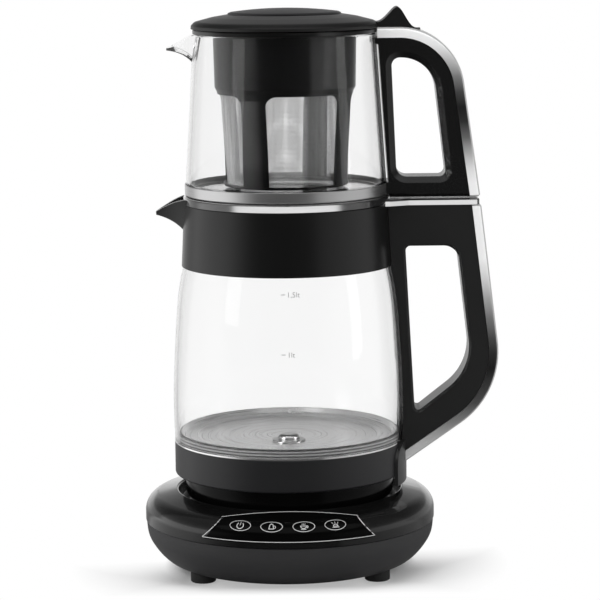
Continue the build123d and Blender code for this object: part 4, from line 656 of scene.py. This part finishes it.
level_brushed = brushed("level_brushed", (18, 18, 5200), (0.50,) * 3, (0.72,) * 3, 0.30)
bright_steel = brushed("bright_steel", (40,) * 3, (0.84,) * 3, (0.94,) * 3, 0.12)
zinc_plated = brushed("zinc_plated", (400,) * 3, (0.40, 0.40, 0.41), (0.55, 0.55, 0.57), 0.35)
raw_aluminium = brushed("raw_aluminium", (200,) * 3, (0.55,) * 3, (0.68,) * 3, 0.38)
contact_brass = brushed(
    "contact_brass", (60, 60, 900), (0.62, 0.44, 0.16), (0.78, 0.58, 0.26), 0.25
)
wear(level_brushed, "teapot_band", "plate_sensor")
wear(bright_steel, "glass_foot_ring")
wear(zinc_plated, "base_screws", "handle_screws", "teapot_handle_screws", "teapot_bracket")
wear(contact_brass, "centre_contact", "inner_contact", "outer_contact", "socket_pin")
wear(contact_brass, "socket_inner_ring", "socket_outer_ring", "element_terminals")
wear(raw_aluminium, "heat_spreader", "heating_element")


# %% [markdown]
# The steel strips of the two handles are brushed along their length and have
# polished flanks. A flank mirrors a room that changes from white to black
# along the strip, and its brushing spreads that into a long, even gradient. A
# true mirror there would need a studio built for these two strips alone. So
# the gradient goes into the base colour along the height, and only on the
# flanks; the rounded outer face keeps the plain steel.

# %% Steel of a handle strip
FLANK = 13.2 * MM


def strip_steel(name, foot, top, *stops):
    f = Finish(name, metallic=0.15)
    _, y, z = f.axes(f.place())
    along = f.noise(f.place((3500, 30, 60)), detail=4.0)
    on_flank = y.math("ABSOLUTE") > FLANK
    tone = f.levels((z - foot) / (top - foot), *stops)
    flank = f.tint(tone, (0.0,) * 3, (0.97,) * 3)
    outer = f.tint(along, (0.36,) * 3, (0.44,) * 3)
    both = {0: on_flank, 6: outer, 7: flank}
    f.set("Base Color", f.node("ShaderNodeMix", {"data_type": "RGBA"}, both, out=2))
    f.set("Roughness", along * 0.12 + 0.24)
    f.bump(along, strength=0.2, depth=0.02 * MM)
    return f


# %% [markdown]
# Each strip has its own ramp, from its foot to its top. Both are bright at the
# foot, where they mirror the floor, nearly black in the middle, where they
# mirror the dark end of the room, and white at the top, where they lean
# towards the sheets. The kettle's strip comes first.

# %% Strip of the kettle's handle
kettle_strip = strip_steel(
    "kettle_strip",
    69 * MM,
    226 * MM,
    (0.0, 0.82),
    (0.08, 0.55),
    (0.16, 0.24),
    (0.24, 0.072),
    (0.385, 0.008),
    (0.445, 0.024),
    (0.51, 0.07),
    (0.59, 0.19),
    (0.67, 0.40),
    (0.75, 0.72),
    (0.835, 1.0),
    (1.0, 1.0),
)
wear(kettle_strip, "kettle_handle_trim")

# %% [markdown]
# The teapot's strip is shorter and bends round the same way, so its ramp is
# much the same, with the dark part in its middle.

# %% Strip of the teapot's handle
teapot_strip = strip_steel(
    "teapot_strip",
    248 * MM,
    342 * MM,
    (0.0, 1.0),
    (0.10, 0.82),
    (0.21, 0.41),
    (0.31, 0.135),
    (0.415, 0.028),
    (0.515, 0.012),
    (0.617, 0.06),
    (0.72, 0.21),
    (0.825, 0.52),
    (0.93, 0.90),
    (1.0, 1.0),
)
wear(teapot_strip, "teapot_handle_trim")


# %% [markdown]
# The bright ring on the kettle's rim is pressed from sheet, and its outside
# leans in a little towards the top, by less than a millimetre. That is too
# little to model but enough to change what the ring mirrors. A bump that
# falls steadily with the height leans the shading in the same way.

# %% Bright ring on the rim
RIM_LEAN = 0.53
rim_steel = Finish("rim_steel", metallic=1.0)
rim_smears = rim_steel.noise(rim_steel.place((60, 60, 300)), detail=3.0)
rim_height = rim_steel.axes(rim_steel.place())[2]
rim_steel.set("Base Color", rim_steel.tint(rim_smears, (0.62,) * 3, (0.80,) * 3))
rim_steel.set("Roughness", rim_smears * 0.1 + 0.10)
rim_steel.bump(rim_height * -1, strength=1.0, depth=RIM_LEAN)
wear(rim_steel, "kettle_rim_ring")


# %% [markdown]
# The heating plate is turned on a lathe, so its lines are rings. A noise that
# is squeezed hard along the distance from the middle, and hardly at all
# otherwise, draws rings that fade in and out, as a worn tool leaves them. A
# plain wave would give perfect circles, like a record. Slow clouds stand for
# the stains that boiled water leaves.

# %% Turned steel of the heating plate
RINGS_PER_METRE = 2600
DRIFT_PER_METRE = 25


def turned_steel():
    f = Finish("turned_steel", metallic=0.55)
    where = f.place()
    x, y, _ = f.axes(where)
    across_rings = reach_of(x, y) * RINGS_PER_METRE
    bent = {0: across_rings, 1: x * DRIFT_PER_METRE, 2: y * DRIFT_PER_METRE}
    rings = f.noise(f.node("ShaderNodeCombineXYZ", None, bent))
    clouds = f.noise(where, scale=26.0, detail=4.0)
    f.set("Base Color", f.tint(rings * 0.25 + clouds * 0.75, (0.72,) * 3, (1.0,) * 3))
    f.set("Roughness", rings * 0.14 + 0.22)
    f.bump(rings, strength=0.15, depth=0.02 * MM)
    return f


wear(turned_steel(), "heating_plate")


# %% [markdown]
# ### Glass
#
# Clear glass has no colour of its own in a thin wall: what is seen are its
# reflections and the dark lines where the wall is seen edge on. The CAD walls
# have their real thickness, so a shader that passes light on is enough.
# Layer Weight tells how far a wall is turned away, and the colour gets a
# little darker there, as it does in soda glass.


# %% Glass
def clear_glass(name, wall, near_edge, edge):
    f = Finish(name, transmission_weight=1.0, ior=1.22)
    edge_on = f.node("ShaderNodeLayerWeight", None, {"Blend": 0.5}, out="Facing")
    stops = [(0.0, wall), (0.80, wall), (0.94, near_edge), (1.0, edge)]
    f.set("Base Color", f.levels(edge_on, *stops))
    f.set("Roughness", f.noise(f.place((30, 30, 8))) * 0.01)
    return f


wear(clear_glass("kettle_clear_glass", 0.977, 0.92, 0.60), "kettle_glass")
wear(clear_glass("teapot_clear_glass", 0.955, 0.93, 0.72), "teapot_glass")


# %% [markdown]
# ### Rubber and silicone
#
# Rubber feet and seals are soft and a little tacky, so dust clings to them.
# One fine, rough noise lightens the colour and roughens the surface at the
# same spots.


# %% Rubber and silicone
def rubbery(name, dark, light, roughness):
    f = Finish(name, ior=1.45)
    dust = f.noise(f.place(), scale=700.0, detail=5.0, roughness=0.7)
    f.set("Base Color", f.tint(dust, dark, light))
    f.set("Roughness", dust * 0.2 + (roughness - 0.1))
    f.bump(dust, strength=0.4, depth=0.1 * MM)
    return f


black_rubber = rubbery("black_rubber", (0.012,) * 3, (0.022,) * 3, 0.7)
silicone = rubbery("silicone", (0.46, 0.46, 0.44), (0.56, 0.56, 0.54), 0.5)
wear(black_rubber, "rubber_feet", "lead_bush", "touch_pads")
wear(silicone, "collar_seal", "teapot_seal", "lid_gasket")

# %% [markdown]
# The seal round the heating plate has lips, one above the other, that show
# through the glass as dark and light lines. They could be turned with a spin;
# for lips two millimetres apart behind glass, a wave along the height will do.
# The same wave darkens the colour between the lips almost to black: that is
# painted shade in the grooves, and the crests keep the silicone's own grey.

# %% Ribbed seal of the heating plate
RIB_PITCH = 1.9 * MM
ribbed = Finish("ribbed_silicone", ior=1.45)
rib_height = ribbed.axes(ribbed.place())[2]
lips_and_painted_shade = (rib_height * (2 * math.pi / RIB_PITCH)).math("SINE") * 0.5 + 0.5
rib_dust = ribbed.noise(ribbed.place((300, 300, 900)))
# The dark between the lips is painted shade; the light crests are the silicone's own grey.
ribbed.set("Base Color", ribbed.tint(lips_and_painted_shade * 0.8 + rib_dust * 0.2, (0.02,) * 3, (0.50,) * 3))
ribbed.set("Roughness", rib_dust * 0.2 + 0.3)
ribbed.bump(lips_and_painted_shade, strength=0.5, depth=0.3 * MM)
wear(ribbed, "plate_seal")

# %% [markdown]
# ### Circuit board
#
# The boards inside the base are green lacquer over copper tracks. They hardly
# ever show, so a brick pattern stands for the tracks.

# %% Circuit boards
board = Finish("circuit_board", ior=1.5)
tracks = board.node(
    "ShaderNodeTexBrick",
    {"offset": 0.37},
    {"Vector": board.place((220, 220, 220)), "Scale": 1.0, "Mortar Size": 0.06},
    out="Fac",
)
board.set("Base Color", board.tint(tracks, (0.01, 0.10, 0.04), (0.03, 0.20, 0.08)))
board.set("Roughness", tracks * 0.2 + 0.3)
board.bump(tracks, strength=0.5, depth=0.04 * MM)
wear(board, "power_board", "sensor_board")


# %% [markdown]
# ### Woven mesh
#
# The tea leaves are held by a fine steel cloth. Modelling its wires would
# take millions of faces. Waves round the cup and waves up its side cross to a
# weave instead: where either wave is near its crest there is a wire, and
# everywhere else there is a hole, so the alpha drops to nothing. The cloth's
# tone round the cup is painted light and shade: lighter where it hangs free,
# and darker, in painted shade, where it lies against a post.

# %% Woven steel mesh
WIRE_PITCH = 0.8 * MM
CUP_RADIUS = 42 * MM


def woven_steel():
    f = Finish("woven_steel", metallic=0.35)
    x, y, z = f.axes(f.place())
    turns = y.math("ARCTAN2", x) * (CUP_RADIUS / WIRE_PITCH)
    warp = (turns * (2 * math.pi)).math("SINE") * 0.5 + 0.5
    weft = (z * (2 * math.pi / WIRE_PITCH)).math("SINE") * 0.5 + 0.5
    wires = warp.math("MAXIMUM", weft)
    # Painted light and shade: lighter and darker bands round the cup, set by its side.
    tone = f.levels(
        side_of(x, y),
        (0.0, 0.95),
        (0.06, 0.85),
        (0.10, 0.50),
        (0.15, 0.24),
        (0.22, 0.30),
        (0.30, 0.82),
        (0.63, 0.82),
        (0.69, 0.24),
        (0.80, 0.24),
        (0.86, 0.36),
    )
    f.set("Base Color", tone * (wires * 0.6 + 0.5))
    f.set("Roughness", 0.55 - wires * 0.15)
    f.set("Alpha", f.levels(wires, (0.87, 0.0), (0.96, 1.0)))
    f.bump(wires, strength=0.6, depth=0.2 * MM)
    return f


wear(woven_steel(), "infuser_mesh")
print("materials:", len(bpy.data.materials))

# %% [markdown]
# ## Printed marks
#
# The control panel is a film with white symbols behind it, and the kettle's
# glass carries litre marks. A picture mapped on the pieces could carry them,
# but real strokes stay sharp and need no file. Each drawing is laid out flat,
# in millimetres, from operator shapes. Here all of it lies a hair above its
# piece, because behind the opaque film nothing would show.
#
# The first two are a dash, which is a stretched and turned grid, and an arc,
# which is one short edge spun round a point. A dash is cut into parts, so that
# it can bend later.


# %% Strokes
def dash(bm, start, end, width, parts=4):
    """A straight stroke from one point to the other."""
    a, b = Vector((*start, 0)), Vector((*end, 0))
    grid = bmesh.ops.create_grid(bm, x_segments=parts, y_segments=1, size=0.5)
    turn = math.atan2(b.y - a.y, b.x - a.x)
    size = Matrix.Diagonal(((b - a).length + width, width, 1, 1))
    place = Matrix.Translation((a + b) / 2) @ Matrix.Rotation(turn, 4, "Z") @ size
    bmesh.ops.transform(bm, matrix=place, verts=grid["verts"])


def arc(bm, middle, radius, width, first, sweep, steps=24):
    """A stroke along an arc, angles in degrees from the right, against the clock."""
    start = len(bm.verts)
    inner = bm.verts.new((radius - width / 2, 0, 0))
    outer = bm.verts.new((radius + width / 2, 0, 0))
    edge = bm.edges.new((inner, outer))
    bmesh.ops.spin(
        bm,
        geom=[inner, outer, edge],
        cent=(0, 0, 0),
        axis=(0, 0, 1),
        angle=math.radians(sweep),
        steps=steps,
    )
    bm.verts.ensure_lookup_table()
    place = Matrix.Translation((*middle, 0)) @ Matrix.Rotation(math.radians(first), 4, "Z")
    bmesh.ops.transform(bm, matrix=place, verts=bm.verts[start:])


# %% [markdown]
# An oval line starts as a filled circle that is stretched. An inset of its one
# face leaves a rim of even width, and the face in the middle goes. Numbers
# start as a text object, which is made a mesh. Its size counts the line
# height, and a digit is seven tenths of that.

# %% Oval lines and numbers
DIGIT_SHARE = 0.7


def oval(bm, half_wide, half_tall, width):
    """An oval line of even width round the middle of the drawing."""
    ring = bmesh.ops.create_circle(bm, cap_ends=True, segments=64, radius=1.0)["verts"]
    bmesh.ops.transform(bm, matrix=Matrix.Diagonal((half_wide, half_tall, 1, 1)), verts=ring)
    face = ring[0].link_faces[0]
    bmesh.ops.inset_region(
        bm, faces=[face], thickness=width, use_boundary=True, use_even_offset=True
    )
    bmesh.ops.delete(bm, geom=[face], context="FACES_ONLY")


def word(bm, text, height, left, level):
    """Numbers, with their left end and their middle height given."""
    curve = bpy.data.curves.new("mark", "FONT")
    curve.body = text
    curve.size = height / DIGIT_SHARE
    holder = bpy.data.objects.new("mark", curve)
    start = len(bm.verts)
    bm.from_mesh(bpy.data.meshes.new_from_object(holder))
    bm.verts.ensure_lookup_table()
    place = Matrix.Translation((left, level - height / 2, 0))
    bmesh.ops.transform(bm, matrix=place, verts=bm.verts[start:])
    bpy.data.objects.remove(holder)


# %% [markdown]
# Then every point of the drawing is dropped along one direction on to the
# curved piece below, and the drawing gets the thickness of a coat of ink. A
# Shrinkwrap modifier could drop it too; a ray for each point keeps the
# drawing's outline exact as seen from that direction.

# %% A drawing that is laid on a curved piece
INK_GAP = 0.007 * MM
INK_THICKNESS = 0.010 * MM
INK_MERGE = 0.005 * MM
START_ABOVE = 20 * MM


def laid_on(bm, pieces, flat_to_place):
    """Drops the drawing on to CAD pieces along the flat drawing's own Z."""
    bmesh.ops.transform(bm, matrix=flat_to_place @ Matrix.Scale(MM, 4), verts=bm.verts)
    depsgraph = bpy.context.evaluated_depsgraph_get()
    under = [BVHTree.FromObject(piece, depsgraph) for piece in pieces]
    down = -(flat_to_place.to_3x3() @ Vector((0, 0, 1)))
    for vert in bm.verts:
        hits = [tree.ray_cast(vert.co - down * START_ABOVE, down) for tree in under]
        near = min((hit for hit in hits if hit[0]), key=lambda hit: hit[3])
        vert.co = near[0] - down * INK_GAP


def inked(bm, body, finish, name):
    """Gives the drawing its thickness and makes it a piece of the object."""
    bmesh.ops.remove_doubles(bm, verts=bm.verts, dist=INK_MERGE)
    bmesh.ops.recalc_face_normals(bm, faces=bm.faces)
    bmesh.ops.solidify(bm, geom=bm.faces[:], thickness=INK_THICKNESS)
    bmesh.ops.recalc_face_normals(bm, faces=bm.faces)
    mesh = bpy.data.meshes.new(name)
    bm.to_mesh(mesh)
    bm.free()
    made = bpy.data.objects.new(name, mesh)
    bpy.context.scene.collection.objects.link(made)
    mesh.materials.append(finish.material)
    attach(made, body)
    print(name, "faces:", len(mesh.polygons))


# %% [markdown]
# ### Ink
#
# Screen-printing ink is a matt plastic paint. On the panel it is white and
# sits behind a dark film, so it looks light grey. On the glass it is grey. A
# fine noise gives it the slightly uneven cover of a print.


# %% Inks
def ink(name, dark, light):
    f = Finish(name, ior=1.45)
    spread = f.noise(f.place(), scale=2500.0, detail=3.0)
    f.set("Base Color", f.tint(spread, dark, light))
    f.set("Roughness", spread * 0.2 + 0.4)
    return f


panel_ink = ink("panel_ink", (0.46,) * 3, (0.60,) * 3)
glass_ink = ink("glass_ink", (0.26,) * 3, (0.34,) * 3)
print("inks:", panel_ink.material.name, glass_ink.material.name)

# %% [markdown]
# ### Symbols on the panel
#
# Each touch field has a pictogram: the power sign, a kettle, a cup of tea,
# and a pot that is kept warm. They are a few strokes each, in millimetres
# from the middle of the field.

# %% Pictograms
LINE = 0.42
THIN_LINE = 0.3


def power_sign(bm):
    arc(bm, (0, -0.2), 2.1, LINE * 1.2, 128, 284)
    dash(bm, (0, 0.1), (0, 2.4), LINE * 1.2)


def kettle_sign(bm):
    dash(bm, (-1.6, -1.7), (1.3, -1.7), LINE)
    dash(bm, (-1.6, -1.7), (-1.2, 0.6), LINE)
    dash(bm, (1.3, -1.7), (1.0, 0.6), LINE)
    arc(bm, (-0.1, 0.6), 1.1, LINE, 0, 180)
    arc(bm, (1.5, -0.5), 1.0, LINE, -80, 160)
    dash(bm, (-0.1, 1.9), (-0.1, 2.1), LINE)


def cup_sign(bm):
    arc(bm, (-0.2, 0.2), 1.8, LINE, 180, 180)
    dash(bm, (-2.0, 0.2), (1.6, 0.2), LINE)
    arc(bm, (1.9, -0.4), 0.7, LINE, -100, 200, 12)
    dash(bm, (-1.6, -2.1), (1.2, -2.1), LINE)
    for x in (-1.1, -0.2, 0.7):
        dash(bm, (x, 1.0), (x + 0.2, 1.9), THIN_LINE)


def warm_sign(bm):
    dash(bm, (-2.0, -1.9), (2.0, -1.9), LINE)
    dash(bm, (-1.5, -1.2), (1.5, -1.2), LINE)
    arc(bm, (0, -1.2), 1.4, LINE, 0, 180)
    for x, tip in ((-1.5, -2.0), (0, 0), (1.5, 2.0)):
        lower = abs(x) * 0.3
        dash(bm, (x, 1.0 - lower), (tip, 2.0 - lower), THIN_LINE)


# %% [markdown]
# The four fields lie on a circle round the kettle. The flat drawing of a
# field is tipped to the slope of the dome, moved out to that circle and then
# turned to its place on it. The sizes of the oval are in the drawing's
# millimetres, and those of its place are in metres.

# %% Four touch fields
FIELD_HALF_WIDE = 6.9
FIELD_HALF_TALL = 3.7
FIELD_LINE = 0.34
FIELD_RADIUS = 90.1 * MM
FIELD_HEIGHT = 45.6 * MM
FIELD_LEAN = math.radians(45)
FIELD_STEP = math.radians(12.65)
FIELD_TURN = math.radians(-0.7)
dome = [nodes["control_panel"], nodes["base_top_cover"]]
for number, sign in enumerate((power_sign, kettle_sign, cup_sign, warm_sign)):
    field = bmesh.new()
    oval(field, FIELD_HALF_WIDE, FIELD_HALF_TALL, FIELD_LINE)
    sign(field)
    turn = FIELD_STEP * (number - 1.5) + FIELD_TURN
    flat_to_place = (
        Matrix.Rotation(turn, 4, "Z")
        @ Matrix.Translation((0, -FIELD_RADIUS, FIELD_HEIGHT))
        @ Matrix.Rotation(math.pi / 2 - FIELD_LEAN, 4, "X")
    )
    laid_on(field, dome, flat_to_place)
    inked(field, "base", panel_ink, f"touch_field_{number + 1}")


# %% [markdown]
# ### Border of the panel
#
# A white line frames the panel. Seen from the front its foot and its two
# sides are straight, so these three are drawn upright and dropped on from the
# front. Seen from above its far side is straight too; there the dome is
# nearly level, so that stroke is dropped on from above. All its sizes are in
# the drawing's millimetres. It is cut into many parts, to follow the facets.

# %% Border of the panel
BORDER = 0.42
CORNER_LAP = 0.2
FOOT_LEFT = -54.2
FOOT_RIGHT = 52.6
FOOT_LEVEL = 36.4
HEAD_HALF = 41.8
HEAD_LEVEL = 48.55
HEAD_DEPTH = -74.2
BEFORE_DOME = -100 * MM
ABOVE_DOME = 60 * MM
from_front = bmesh.new()
dash(from_front, (FOOT_LEFT, FOOT_LEVEL), (FOOT_RIGHT, FOOT_LEVEL), BORDER, parts=320)
for foot, head in ((FOOT_LEFT, -HEAD_HALF), (FOOT_RIGHT, HEAD_HALF)):
    dash(from_front, (foot, FOOT_LEVEL + CORNER_LAP), (head, HEAD_LEVEL), BORDER, parts=120)
upright = Matrix.Translation((0, BEFORE_DOME, 0)) @ Matrix.Rotation(math.pi / 2, 4, "X")
laid_on(from_front, dome, upright)
inked(from_front, "base", panel_ink, "border_front")
from_above = bmesh.new()
dash(from_above, (-HEAD_HALF, HEAD_DEPTH), (HEAD_HALF, HEAD_DEPTH), BORDER * 1.4, parts=240)
laid_on(from_above, dome, Matrix.Translation((0, 0, ABOVE_DOME)))
inked(from_above, "base", panel_ink, "border_far_side")

# %% [markdown]
# ### Litre marks
#
# Three short dashes with their numbers stand one above the other on the front
# of the kettle's glass, at nearly equal steps. From a little above, the
# lowest is seen in front of the grey heating plate, where it looks lighter, so
# it gets the lighter ink of the panel: painted light on the same print.

# %% Litre marks
MARK_LINE = 0.45
MARK_LEFT = -3.6
MARK_RIGHT = -1.4
NUMBER_LEFT = -0.2
NUMBER_HEIGHT = 3.2


def make_litre_mark(level, text, finish, name):
    mark = bmesh.new()
    dash(mark, (MARK_LEFT, level), (MARK_RIGHT, level), MARK_LINE)
    word(mark, text, NUMBER_HEIGHT, NUMBER_LEFT, level)
    laid_on(mark, [nodes["kettle_glass"]], upright)
    inked(mark, "kettle", finish, name)


make_litre_mark(186.2, "1,5lt", glass_ink, "litre_mark_top")
make_litre_mark(149.4, "1lt", glass_ink, "litre_mark_middle")
# The lowest mark gets the lighter panel ink: painted light on the same print.
make_litre_mark(115.0, "0,5lt", panel_ink, "litre_mark_low")
